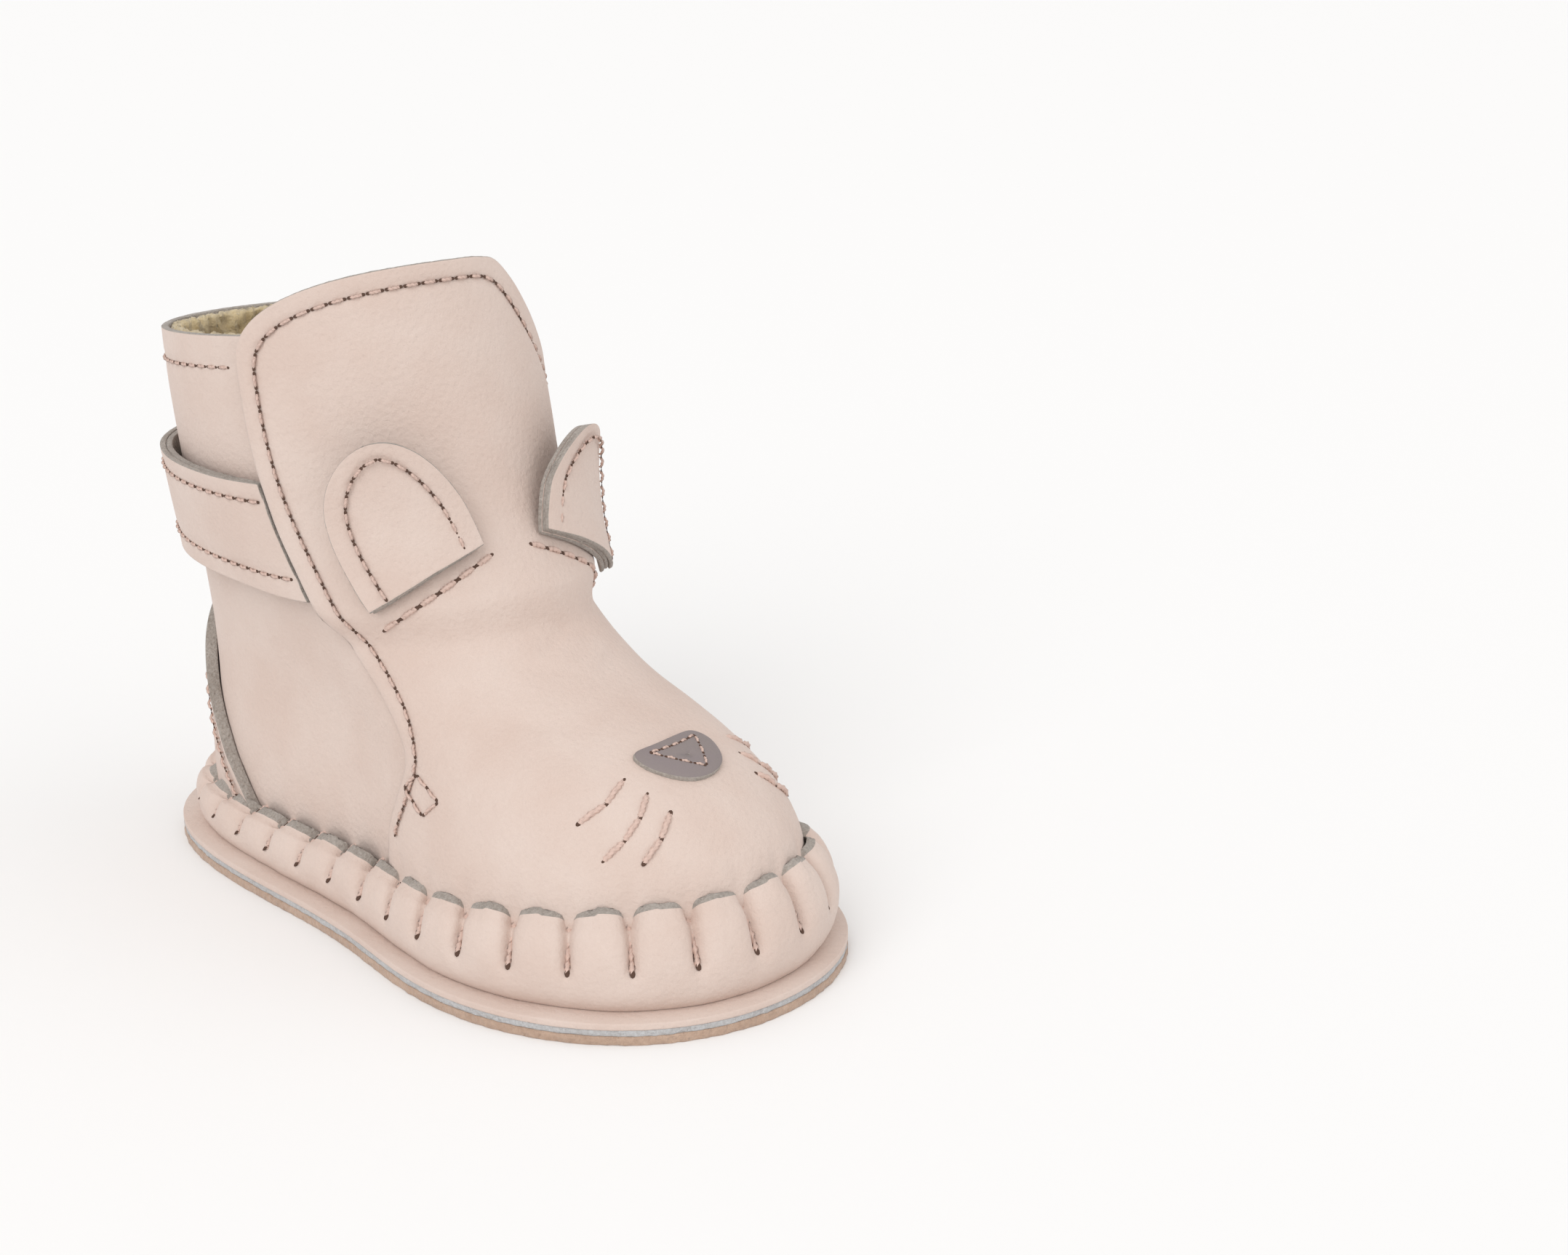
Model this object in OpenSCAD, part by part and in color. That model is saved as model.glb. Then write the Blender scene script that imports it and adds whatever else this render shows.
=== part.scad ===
// Toddler's moccasin bootie, right foot: a gathered side wall whip-stitched to a one-piece vamp that
// runs up into a tall tongue with two ears, a wrapped ankle quarter and a hook-and-loop ankle strap.
// Toe towards -Y, heel towards +Y, +Z up, wearer's right (the outer side of the foot) towards -X.
// The origin is the middle of the sole on the ground.

/* [Sole] */
// Length of the outsole
sole_length = 138; // [112:1:170]
// Half of the outsole's width at the ball
ball_half = 35; // [29:0.5:42]
// Half of the outsole's width at the heel
heel_half = 28; // [24:0.5:34]
// Suede tread thickness
tread = 1.4; // [1:0.1:2.5]
// Stiffening core thickness
core = 1; // [0.6:0.1:2]
// Top leather thickness
welt = 1.1; // [0.8:0.1:2]
// How far the stitched flange stands out past the side wall
flange = 3.6; // [2.5:0.1:5]
// Distance of the sole seam from the edge
seam_inset = 5; // [4:0.1:7]

/* [Upper] */
// Height of the collar at the side of the ankle
collar_height = 93; // [80:1:112]
// Half of the collar's width
collar_half = 25.8; // [22:0.2:30]
// Half of the collar's depth, front to back
collar_depth = 31.2; // [27:0.2:36]
// Middle of the collar behind the middle of the sole
collar_back = 31.8; // [26:0.2:38]
// Leather thickness of the vamp, the tongue and the quarter
leather = 1.3; // [1:0.1:2]
// Pile lining thickness
pile = 2.2; // [1.5:0.1:3.5]
// Half angle that the tongue covers at the ankle
tongue_angle = 68; // [60:1:76]

/* [Side wall] */
// Height of the wall's top at the toe
wall_toe = 19.5; // [16:0.5:24]
// Height of the wall's top at the heel
wall_heel = 11.5; // [10:0.5:14]
// Number of gathers around the wall
gathers = 34; // [31:1:43]
// Depth of one gather at the toe
gather_depth = 1.6; // [0.8:0.1:2]
// Thread thickness of the hand stitches
cord = 1.2; // [0.8:0.1:1.6]

/* [Strap] */
// Width of the ankle strap
strap_width = 17.6; // [14:0.2:21]
// Height of the strap's lower edge above the fold of the tongue
strap_above_fold = 7; // [3:0.5:11]
// Thickness of each strap layer
strap_leather = 1; // [0.8:0.1:1.3]

/* [Ears and nose] */
// Height of an ear above its seam
ear_height = 22; // [16:0.5:26]
// How far the ear's tip stands off the tongue
ear_lift = 5; // [3:0.5:8]
// Thickness of each ear layer
ear_leather = 0.8; // [0.6:0.1:1.1]
// Width of the nose as an angle around the vamp
nose_angle = 20; // [14:1:26]

/* [Hidden] */

nubuck = "#dccac1";
thread_pink = "#d8b8aa";
suede = "#c4a48f";
grey_split = "#b5b3b0";
fleece = "#dbc8a2";

sole_top = tread + core + welt;
wall_thick = 1.5;
last_inset = flange + wall_thick + leather + 1.3;
clear = 0.3;
// The foot bed keeps clear of the lining, which is drawn in more on a wide foot
bed_inset = last_inset + leather + pile + 0.02 * ball_half - 0.1;
foam = 2.5;
footbed = 2.5;
stitch_w = 0.6;
stitch_h = 0.35;
gap = 0.1;

// Levels of the upper: how far the front has come from the toe to the collar, and the height as a
// share of the collar height; the back's way to the collar; and how much the front is narrowed
front_run = [[0, 0.052], [0, 0.19], [0.05, 0.27], [0.2, 0.345], [0.49, 0.42], [0.69, 0.505],
    [0.825, 0.613], [0.91, 0.73], [0.96, 0.86], [1, 1], [1.03, 1.12],
    [1.06, 1.24]];
back_run = [0, 0, 0, 0, 0.1, 0.3, 0.55, 0.8, 0.95, 1, 1, 1];
crown_cut = [0, 0.02, 0.1, 0.2, 0.25, 0.22, 0.15, 0.08, 0.02, 0, 0, 0];
fold_level = 5;
collar_level = 9;
tongue_rise = 2 * strap_leather + 1.5;
tuck = 16;
strap_low = collar_height * front_run[fold_level][1] + strap_above_fold;

function tanh(x) = (exp(2 * x) - 1) / (exp(2 * x) + 1);
function ease(x) = let (c = max(0, min(1, x))) c * c * (3 - 2 * c);
function unit(v) = v / norm(v);

// A smooth curve through a list of numbers or points, one unit of q apart
function along(list, q) =
    let (n = len(list) - 1,
        i = max(0, min(n - 1, floor(q))),
        f = q - i,
        a = list[max(i - 1, 0)],
        b = list[i],
        c = list[i + 1],
        d = list[min(i + 2, n)])
    (2 * b + (c - a) * f + (2 * a - 5 * b + 4 * c - d) * f * f
        + (3 * b - a - 3 * c + d) * f * f * f) / 2;

// Level on the upper that lies at a height
function level(z) =
    lookup(z / collar_height, [for (i = [0:len(front_run) - 1]) [front_run[i][1], i]]);

// Outline of the sole at angle t from the toe, moved in from the edge
function sole_point(t, inset) =
    let (u = -cos(t),
        mean = (ball_half + heel_half) / 2,
        swell = (ball_half - heel_half) / 2 * tanh((u + 0.2) / 0.25),
        hook = 2.4 * exp(-pow((u + 1) / 0.4, 2)) - 0.5 * exp(-pow((u + 0.13) / 0.42, 2)))
    [(mean - swell - inset) * sin(t) * sqrt(1 + cos(t) * cos(t)) + hook,
        (sole_length / 2 - inset) * u];

// Outer face of the quarter at angle t from the toe and level q
function last_point(t, q) =
    let (run = along(front_run, q),
        c = (1 + cos(t)) / 2,
        back = along(back_run, q),
        s = back + (run[0] - back) * c,
        base = sole_point(t, last_inset),
        ring = [collar_half * sin(t), collar_back - collar_depth * cos(t)],
        p = base * (1 - s) + ring * s)
    [p[0] * (1 - along(crown_cut, q) * c), p[1], run[1] * collar_height];
function last_normal(t, q) =
    unit(cross(last_point(t + 1, q) - last_point(t - 1, q),
        last_point(t, q + 0.05) - last_point(t, q - 0.05)));
function skin(t, q, off) = last_point(t, q) + off * last_normal(t, q);

// A closed solid between two equal grids of points, the outer one first
module slab(points, w, h) {
    n = w * h;
    function quad(a, b, c, d) = [[a, b, c], [a, c, d]];
    faces = [
        for (i = [0:h - 2]) for (j = [0:w - 2]) let (k = i * w + j)
            each concat(quad(k, k + w, k + w + 1, k + 1),
                quad(n + k, n + k + 1, n + k + w + 1, n + k + w)),
        for (j = [0:w - 2]) let (k = (h - 1) * w + j)
            each concat(quad(j, j + 1, n + j + 1, n + j), quad(k, n + k, n + k + 1, k + 1)),
        for (i = [0:h - 2]) let (k = i * w, m = i * w + w - 1)
            each concat(quad(k, n + k, n + k + w, k + w), quad(m, m + w, n + m + w, n + m))];
    polyhedron(points, faces, convexity = 8);
}

// A sheet of leather or pile on the upper: place gives angle, level and extra offset
module sheet(place, across, rows, inner, outer) {
    function grid(off) = [for (i = [0:rows]) for (j = [0:across])
        let (c = place(j / across, i / rows)) skin(c[0], c[1], off + c[2])];
    slab(concat(grid(outer), grid(inner)), across + 1, rows + 1);
}

// A short length of thread from a to b that lies flat on a face with normal n
module thread(a, b, n, w, h) {
    s = unit(cross(b - a, n)) * w / 2;
    up = unit(n) * h;
    polyhedron([a - s, a + s, b + s, b - s, a - s + up, a + s + up, b + s + up, b - s + up],
        [[0, 1, 2, 3], [7, 6, 5, 4], [0, 4, 5, 1], [1, 5, 6, 2], [2, 6, 7, 3], [3, 7, 4, 0]]);
}

// A machine-sewn seam on the upper: path gives angle, level and offset from 0 to 1
module seam(path, stitches, w = stitch_w, h = stitch_h) {
    for (i = [0:stitches - 1]) {
        a = path((i + 0.2) / stitches);
        b = path((i + 0.8) / stitches);
        thread(skin(a[0], a[1], a[2]), skin(b[0], b[1], b[2]),
            last_normal((a[0] + b[0]) / 2, (a[1] + b[1]) / 2), w, h);
    }
}

module sole_layer(inset, from, to) {
    translate([0, 0, from])
        linear_extrude(to - from)
            polygon([for (t = [0:5:355]) sole_point(t, inset)]);
}

// Sole: suede tread with a sewn groove, a core, a top leather and the foot bed

module outsole_suede() {
    color(suede)
        difference() {
            sole_layer(0, 0, tread);
            difference() {
                sole_layer(seam_inset - 0.6, -1, 0.8);
                sole_layer(seam_inset + 0.6, -2, 2);
            }
        }
}

module sole_core() {
    color(grey_split) sole_layer(0.1, tread, tread + core);
}

module sole_top_leather() {
    color(nubuck) sole_layer(0, tread + core, sole_top);
}

module sole_stitching() {
    stitches = 66;
    function at(k) = let (p = sole_point(k * 360 / stitches, seam_inset)) [p[0], p[1], 0.25];
    color(thread_pink)
        for (i = [0:stitches - 1])
            thread(at(i + 0.2), at(i + 0.8), [0, 0, 1], stitch_w, 0.5);
}

module insole_foam() {
    color("#e4ded6") sole_layer(bed_inset, sole_top, sole_top + foam);
}

module footbed_fleece() {
    color(fleece)
        sole_layer(bed_inset, sole_top + foam, sole_top + foam + footbed);
}

// Side wall: a band gathered by whip stitches, tall at the toe and low at the heel

// Length round the wall's foot from the toe to each angle, and the way back from length to angle
walk = [for (t = 0, s = 0; t <= 360;
    s = s + norm(sole_point(t + 5, flange) - sole_point(t, flange)), t = t + 5) [t, s]];
walk_back = [for (w = walk) [w[1], w[0]]];
round_foot = walk[len(walk) - 1][1];
function gather_count(t) = gathers * lookup(t - 360 * floor(t / 360), walk) / round_foot;
function gather_angle(k) = lookup(k * round_foot / gathers, walk_back);

function wall_top(t) = wall_heel + (wall_toe - wall_heel) * pow((1 + cos(t)) / 2, 2);
function wall_point(t, v, off) =
    let (front = pow((1 + cos(t)) / 2, 1.2),
        bulge = (1.1 + 1.2 * front) * sin(180 * pow(v, 0.8)),
        lean = 0.6 * v * v,
        fold = gather_depth * (0.35 + 0.65 * front) * ease(v * 1.6 - 0.2)
            * (1 - abs(cos(180 * gather_count(t)))) * 0.5,
        z = sole_top + gap + (wall_top(t) - sole_top) * v,
        p = sole_point(t, flange - bulge + lean + fold - off))
    [p[0], p[1], z];

module pleated_wall() {
    columns = gathers * 4;
    rows = 4;
    function ring(off) = [for (i = [0:rows]) for (j = [0:columns - 1])
        wall_point(gather_angle(j / 4), i / rows, off)];
    n = columns * (rows + 1);
    function quad(a, b, c, d) = [[a, b, c], [a, c, d]];
    faces = [for (j = [0:columns - 1]) let (k = (j + 1) % columns, r = rows * columns)
        each concat(
            [for (i = [0:rows - 1]) let (m = i * columns)
                each concat(quad(m + j, m + columns + j, m + columns + k, m + k),
                    quad(n + m + j, n + m + k, n + m + columns + k, n + m + columns + j))],
            quad(j, k, n + k, n + j),
            quad(r + j, n + r + j, n + r + k, r + k))];
    color(nubuck)
        polyhedron(concat(ring(0), ring(-wall_thick)), faces, convexity = 8);
}

module hand_stitches() {
    color(thread_pink)
        for (i = [0:gathers - 1]) {
            t = gather_angle(i + 0.5);
            a = wall_point(t, 0.42, 0.6);
            b = wall_point(t, 0.97, 0.6);
            out = sole_point(t, 0) - sole_point(t, 5);
            thread(a, b, [out[0], out[1], 0], cord, cord * 0.6);
        }
}

// Vamp and tongue: one piece of leather that bends at the instep, with pile behind it

function tongue_edge(q) = tongue_angle + 15 * (1 - ease((q - 1) / 3.6));
// The tongue's top edge: round on the outer side, and sloping down on the inner one
top_slope = [10.06, 10.04, 9.96, 9.65, 9.24, 8.85, 8.55, 8.32, 8.1, 7.8, 7.3];
function tongue_top(a) = collar_level - 9 + (a < 0.5
    ? 8.7 + 1.36 * pow(1 - pow(1 - 2 * a, 2.6), 0.5) : along(top_slope, 10 * (2 * a - 1)));
function rise(q) = tongue_rise * ease((q - fold_level - 0.03) / 0.6);

module vamp() {
    place = function(a, v) let (q = (fold_level - 0.01) * v) [(2 * a - 1) * tongue_edge(q), q, 0];
    color(nubuck) sheet(place, 24, 12, clear, clear + leather);
}

module vamp_lining() {
    place = function(a, v) let (q = (fold_level - 0.02) * v)
        [(2 * a - 1) * (tongue_edge(q) - tuck - 3), q, 0];
    color(fleece) sheet(place, 24, 12, -pile, clear - 2.5 * gap);
}

module tongue() {
    place = function(a, v)
        let (q = fold_level + 0.03 + (tongue_top(a) - fold_level - 0.03) * v)
        [(2 * a - 1) * tongue_edge(q), q, rise(q)];
    color(nubuck) sheet(place, 24, 13, clear, clear + leather);
}

// Laid on the tongue's own grid of faces, so the two stay parallel
module tongue_lining() {
    place = function(a, v)
        let (at = (4 + 16 * a) / 24,
            q = fold_level + 0.03 + (tongue_top(at) - fold_level - 0.03) * v * 12 / 13)
        [(2 * at - 1) * tongue_edge(q), max(q, fold_level + 0.05), rise(q)];
    color(fleece) sheet(place, 16, 12, -pile, clear - 2.5 * gap);
}

module tongue_stitching() {
    inset = 0.1;
    out = clear + leather + 3.5 * gap;
    path = function(k)
        let (a = k < 0.36 ? inset : k > 0.64 ? 1 - inset
                : inset + (1 - 2 * inset) * (k - 0.36) / 0.28,
            top = tongue_top(a) - 0.32,
            low = fold_level + 0.1,
            q = k < 0.36 ? low + (tongue_top(inset) - 0.32 - low) * k / 0.36
                : k > 0.64 ? low + (tongue_top(1 - inset) - 0.32 - low) * (1 - k) / 0.36 : top)
        [(2 * a - 1) * tongue_edge(q) * 1.12, q, rise(q) + out];
    color(thread_pink) seam(path, 56);
}

module vamp_seam_stitching() {
    color(thread_pink)
        for (side = [-1, 1])
            for (run = [[1.3, 1.95, 2], [2.8, 4.85, 6]])
                seam(function(k) let (q = run[0] + (run[1] - run[0]) * k)
                    [side * (tongue_edge(q) - 6), q, clear + leather + gap], run[2]);
}

module bartacks() {
    color(thread_pink)
        for (side = [-1, 1])
            for (i = [0:3])
                seam(function(k)
                    let (c = [[-1, 0], [0, 1], [1, 0], [0, -1], [-1, 0]],
                        p = c[i] + (c[i + 1] - c[i]) * (0.12 + 0.76 * k))
                    [side * (72 + 4 * p[0]), 2.35 + 0.3 * p[1], clear + leather + gap], 1, 0.8, 0.5);
}

// Quarter: wraps the ankle and the heel, tucked under the edges of the tongue

function collar_edge(t) = collar_level + 0.22 * cos(t);

module quarter() {
    place = function(a, v)
        let (q0 = collar_edge(180 - 110 * (2 * a - 1)) * v,
            half = 180 - tongue_edge(q0) + tuck,
            t = 180 + (2 * a - 1) * half)
        [t, collar_edge(t) * v, 0];
    color(nubuck) sheet(place, 36, 13, -leather, 0);
}

module quarter_lining() {
    place = function(a, v)
        let (q0 = collar_edge(180 - 110 * (2 * a - 1)) * v,
            half = 180 - tongue_edge(q0) + tuck - 1,
            t = 180 + (2 * a - 1) * half)
        [t, (collar_edge(t) - 0.05) * v, 0];
    color(fleece) sheet(place, 36, 13, -leather - pile, -leather - gap);
}

module collar_stitching() {
    path = function(k) let (t = 80 + 200 * k) [t, collar_edge(t) - 0.42, gap];
    color(thread_pink) seam(path, 34);
}

function counter_top(x) = level(8 + 34 * pow(0.5 + 0.5 * cos(180 * x), 0.7));

module heel_counter() {
    place = function(a, v) let (x = 2 * a - 1) [180 + 64 * x, counter_top(x) * v, 0];
    color(nubuck) sheet(place, 24, 8, 0.1, 0.1 + leather);
}

module counter_stitching() {
    path = function(k) let (x = 0.66 * (2 * k - 1))
        [180 + 64 * x, counter_top(abs(x) * 1.06 + 0.05) - 0.25, 0.1 + leather + gap];
    color(thread_pink) seam(path, 26);
}

// Face: a nose patch and three whiskers on each side

module nose() {
    place = function(a, v)
        let (wide = sin(180 * (0.12 + 0.76 * pow(v, 0.7))) * (0.55 + 0.45 * v))
        [(2 * a - 1) * nose_angle / 2 * wide, 2.95 + 0.62 * v, clear + leather];
    color("#8a8083") sheet(place, 12, 8, gap, 1.2 + gap);
}

module nose_stitching() {
    corners = [[-0.45, 0.8], [0, 0.25], [0.45, 0.8], [-0.45, 0.8]];
    color(thread_pink)
        for (i = [0:2])
            seam(function(k) let (p = corners[i] + (corners[i + 1] - corners[i]) * (0.08 + 0.84 * k))
                [p[0] * nose_angle / 2, 2.95 + 0.62 * p[1], clear + leather + 1.2 + 2 * gap], 2, 0.4, 0.3);
}

module whisker_stitches() {
    ends = [[37, 28.2, 21, 32.5], [34, 24, 18, 31], [26, 23.7, 15.5, 28.9]];
    share = collar_height / 93;
    color(thread_pink)
        for (side = [-1, 1])
            for (e = ends)
                seam(function(k)
                    [side * (e[0] + (e[2] - e[0]) * k),
                        level((e[1] + (e[3] - e[1]) * k) * share), clear + leather + 0.1],
                    3, 1, 0.8);
}

// Strap: sewn down under the tongue on the outer side, around the heel, closed on the inner side

strap_in = 1;
strap_mid = strap_in + strap_leather;
strap_out = strap_mid + strap_leather;
hinge_angle = tongue_angle + 4;
tab_angle = 212;
tab_end = 276;

function strap_place(from, to, rim) = function(a, v)
    let (low = strap_low + rim, high = strap_low + strap_width - rim)
    [from + (to - from) * a, level(low + (high - low) * v), 0];

module strap_anchor() {
    color(nubuck)
        sheet(strap_place(-hinge_angle + 0.9, -hinge_angle + 12, 0.4), 4, 5, gap, strap_out - 0.8);
}

module strap_outer() {
    color(nubuck) sheet(strap_place(-tab_angle + 0.6, -hinge_angle, 0), 26, 4, strap_mid, strap_out);
}

module strap_liner() {
    color(grey_split)
        sheet(strap_place(-tab_angle + 0.6, -hinge_angle, 0.3), 26, 4, strap_in, strap_mid - gap);
}

function tab_place(rim) = function(a, v)
    let (round_off = pow(1 - pow(abs(2 * v - 1), 2.4), 0.5),
        from = -tab_end - 3 * round_off,
        base = strap_place(from + rim, -tab_angle, rim))
    base(a, v);

module tab_outer() {
    color(nubuck) sheet(tab_place(0), 12, 7, strap_mid, strap_out);
}

module tab_liner() {
    color(grey_split) sheet(tab_place(0.3), 12, 7, strap_in, strap_mid - gap);
}

module tab_hook() {
    color("#f1efea") sheet(strap_place(-tab_end + 2, -tab_end + 40, 2.5), 8, 4, 0.72, strap_in - gap);
}

module loop_patch() {
    color("#efece6") sheet(strap_place(-tab_end - 1, -tab_end + 42, 2), 8, 4, gap, 0.38);
}

module band_stitching(from, to, stitches) {
    for (z = [strap_low + 3, strap_low + strap_width - 3])
        seam(function(k) [from + (to - from) * k, level(z), strap_out + gap], stitches);
}

module strap_stitching() {
    color(thread_pink) band_stitching(-tab_angle + 3, -hinge_angle - 1, 26);
}

module tab_stitching() {
    color(thread_pink) band_stitching(-tab_end, -tab_angle - 2, 10);
}

// Ears: front leather, grey core and back leather, sewn in a slit of the tongue

lateral_base = [[-51, 52.8], [-14.4, 60.6]];
medial_base = [[-55, 49.5], [-8, 60.5]];
medial_share = 0.89;
ear_off = clear + leather + 0.3;

function ear_place(side, rim) = function(a, v)
    let (b = side > 0 ? a : 1 - a,
        ends = side > 0 ? lateral_base : medial_base,
        high = side > 0 ? ear_height : ear_height * medial_share,
        up = rim * 0.5 + (1 - rim) * v,
        wide = pow(1 - pow(up, 2), 0.5) * (1 - rim),
        mid = (ends[0] + ends[1]) / 2,
        half = (ends[1] - ends[0]) / 2,
        x = (2 * b - 1) * max(0.12, wide),
        z = mid[1] * collar_height / 93 + half[1] * x + high * up)
    [side * (mid[0] + half[0] * x - 3 * up), level(z), tongue_rise + ear_off + ear_lift * up];

module ear_layer(side, rim, from, to) {
    sheet(ear_place(side, rim), 10, 8, from, to);
}

module ear_stitches(side) {
    path = function(k)
        let (p = ear_place(side, 0.14), c = 1 - abs(2 * k - 1), a = k < 0.5 ? 0 : 1)
        k < 0.42 ? p(0, k / 0.42 * 0.9)
            : k > 0.58 ? p(1, (1 - k) / 0.42 * 0.9) : p((k - 0.42) / 0.16, 0.9 + 0.03 * c);
    seam(function(k) path(k) + [0, 0, 3 * ear_leather + gap], 17);
}

module lateral_ear_back() {
    color(nubuck) ear_layer(1, 0, 0, ear_leather - gap);
}

module lateral_ear_core() {
    color(grey_split) ear_layer(1, 0.03, ear_leather, 2 * ear_leather - 1.5 * gap);
}

module lateral_ear_front() {
    color(nubuck) ear_layer(1, 0, 2 * ear_leather, 3 * ear_leather);
}

module lateral_ear_stitching() {
    color(thread_pink) ear_stitches(1);
}

module medial_ear_back() {
    color(nubuck) ear_layer(-1, 0, 0, ear_leather - gap);
}

module medial_ear_core() {
    color(grey_split) ear_layer(-1, 0.03, ear_leather, 2 * ear_leather - 1.5 * gap);
}

module medial_ear_front() {
    color(nubuck) ear_layer(-1, 0, 2 * ear_leather, 3 * ear_leather);
}

module medial_ear_stitching() {
    color(thread_pink) ear_stitches(-1);
}

// Thick stitches on the tongue along the slit that holds each ear
module ear_seam_stitches() {
    color(thread_pink)
        for (side = [-1, 1])
            seam(function(k)
                let (ends = side > 0 ? lateral_base : medial_base,
                    foot = ends[0] + (ends[1] - ends[0]) * (1.15 * k - 0.05) - [0, 2.2],
                    q = level(foot[1] * collar_height / 93))
                [side * foot[0], q, rise(q) + clear + leather + 3.5 * gap], 7, 0.8, 0.5);
}

outsole_suede();
sole_core();
sole_top_leather();
sole_stitching();
insole_foam();
footbed_fleece();
pleated_wall();
hand_stitches();
vamp();
vamp_lining();
vamp_seam_stitching();
bartacks();
quarter();
quarter_lining();
collar_stitching();
heel_counter();
counter_stitching();
nose();
nose_stitching();
whisker_stitches();
strap_anchor();
loop_patch();
tongue();
tongue_lining();
tongue_stitching();
ear_seam_stitches();
lateral_ear_front();
lateral_ear_core();
lateral_ear_back();
lateral_ear_stitching();
medial_ear_front();
medial_ear_core();
medial_ear_back();
medial_ear_stitching();
strap_outer();
strap_liner();
strap_stitching();
tab_outer();
tab_liner();
tab_hook();
tab_stitching();
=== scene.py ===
"""A soft leather baby bootie: gathered side wall, folding tongue with ears and a face, ankle strap."""

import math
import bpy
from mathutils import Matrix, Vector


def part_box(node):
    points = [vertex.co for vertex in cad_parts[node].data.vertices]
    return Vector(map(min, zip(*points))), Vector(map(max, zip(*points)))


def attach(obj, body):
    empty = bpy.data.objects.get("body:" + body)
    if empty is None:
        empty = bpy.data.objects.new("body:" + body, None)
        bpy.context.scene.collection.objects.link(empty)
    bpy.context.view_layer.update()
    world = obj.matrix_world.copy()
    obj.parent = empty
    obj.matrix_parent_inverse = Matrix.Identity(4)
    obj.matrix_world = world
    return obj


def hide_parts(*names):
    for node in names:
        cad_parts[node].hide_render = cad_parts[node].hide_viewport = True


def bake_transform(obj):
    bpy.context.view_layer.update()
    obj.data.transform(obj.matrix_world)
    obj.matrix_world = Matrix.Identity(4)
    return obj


bl_info = {
    "name": "Leather baby bootie",
    "version": (1, 0, 0),
    "blender": (4, 5, 0),
    "location": "3D View > Sidebar > Bootie",
    "description": "Builds the leather, pile, thread and sole of a gathered baby bootie",
    "category": "Object",
}

import bmesh
import bpy
import numpy as np
from bpy.props import FloatProperty, FloatVectorProperty, IntProperty, PointerProperty
from mathutils import Matrix, Vector

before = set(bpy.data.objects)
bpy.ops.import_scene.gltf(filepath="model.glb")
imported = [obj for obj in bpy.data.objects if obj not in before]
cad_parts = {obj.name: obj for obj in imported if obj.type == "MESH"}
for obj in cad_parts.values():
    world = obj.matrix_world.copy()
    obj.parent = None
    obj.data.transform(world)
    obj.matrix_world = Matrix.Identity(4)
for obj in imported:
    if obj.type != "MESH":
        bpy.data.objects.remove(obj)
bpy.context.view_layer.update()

# ---------------------------------------------------------------- sizes and colours


def linear(hex_colour):
    """An sRGB hex value as linear red, green, blue and alpha."""
    parts = [int(hex_colour[i : i + 2], 16) / 255 for i in (1, 3, 5)]
    return (
        *(c / 12.92 if c <= 0.04045 else ((c + 0.055) / 1.055) ** 2.4 for c in parts),
        1.0,
    )


def length(name, description, millimetres):
    """A length property whose default is given in millimetres."""
    return FloatProperty(
        name=name,
        description=description,
        default=millimetres / 1000,
        unit="LENGTH",
        precision=5,
    )


def colour(name, description, hex_colour):
    return FloatVectorProperty(
        name=name,
        description=description,
        default=linear(hex_colour),
        size=4,
        min=0,
        max=1,
        subtype="COLOR",
    )


class BootieSizes(bpy.types.PropertyGroup):
    """Sizes of the last, the leather and the seams."""

    sole_length: length("Sole length", "Length of the sole over its edge", 138)
    ball_half: length("Ball half width", "Half width at the ball of the foot", 35)
    heel_half: length("Heel half width", "Half width at the heel", 28)
    sole_top: length("Sole thickness", "Height of the sole's upper face", 3.5)
    flange: length("Flange", "How far the sole stands out past the wall", 3.6)
    last_inset: length("Last inset", "From the sole's edge in to the quarter", 7.7)
    seam_inset: length("Sole seam inset", "From the sole's edge in to its seam", 5)
    collar_height: length("Collar height", "Height of the collar's rim", 93)
    collar_half: length("Collar half width", "Half width of the collar", 25.8)
    collar_depth: length("Collar half depth", "Half depth of the collar", 31.2)
    collar_back: length("Collar set-back", "How far back the collar's middle lies", 31.8)
    leather: length("Leather", "Thickness of the upper leather", 1.3)
    pile: length("Pile", "Thickness of the pile lining", 2.2)
    tongue_rise: length("Tongue rise", "Room under the tongue for the strap", 3.5)
    wall_toe: length("Wall at toe", "Height of the gathered wall at the toe", 19.5)
    wall_heel: length("Wall at heel", "Height of the gathered wall at the heel", 11.5)
    gathers: IntProperty(
        name="Gathers",
        description="Number of gathers round the wall",
        default=34,
        min=20,
        max=50,
    )
    strap_low: length("Strap height", "Height of the strap's lower edge", 53.965)
    strap_width: length("Strap width", "Width of the ankle strap", 17.6)
    ear_height: length("Ear height", "Height of an ear above its seam", 22)
    ear_lift: length("Ear lift", "How far the ear's tip stands off the tongue", 5)
    ear_leather: length("Ear leather", "Thickness of each layer of an ear", 0.8)
    pitch: length("Stitch pitch", "Length of one machine stitch with its gap", 2.9)
    thread: length("Thread", "Thickness of the machine thread", 0.62)
    cord: length("Cord", "Thickness of the waxed cord in the wall", 1.15)


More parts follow.
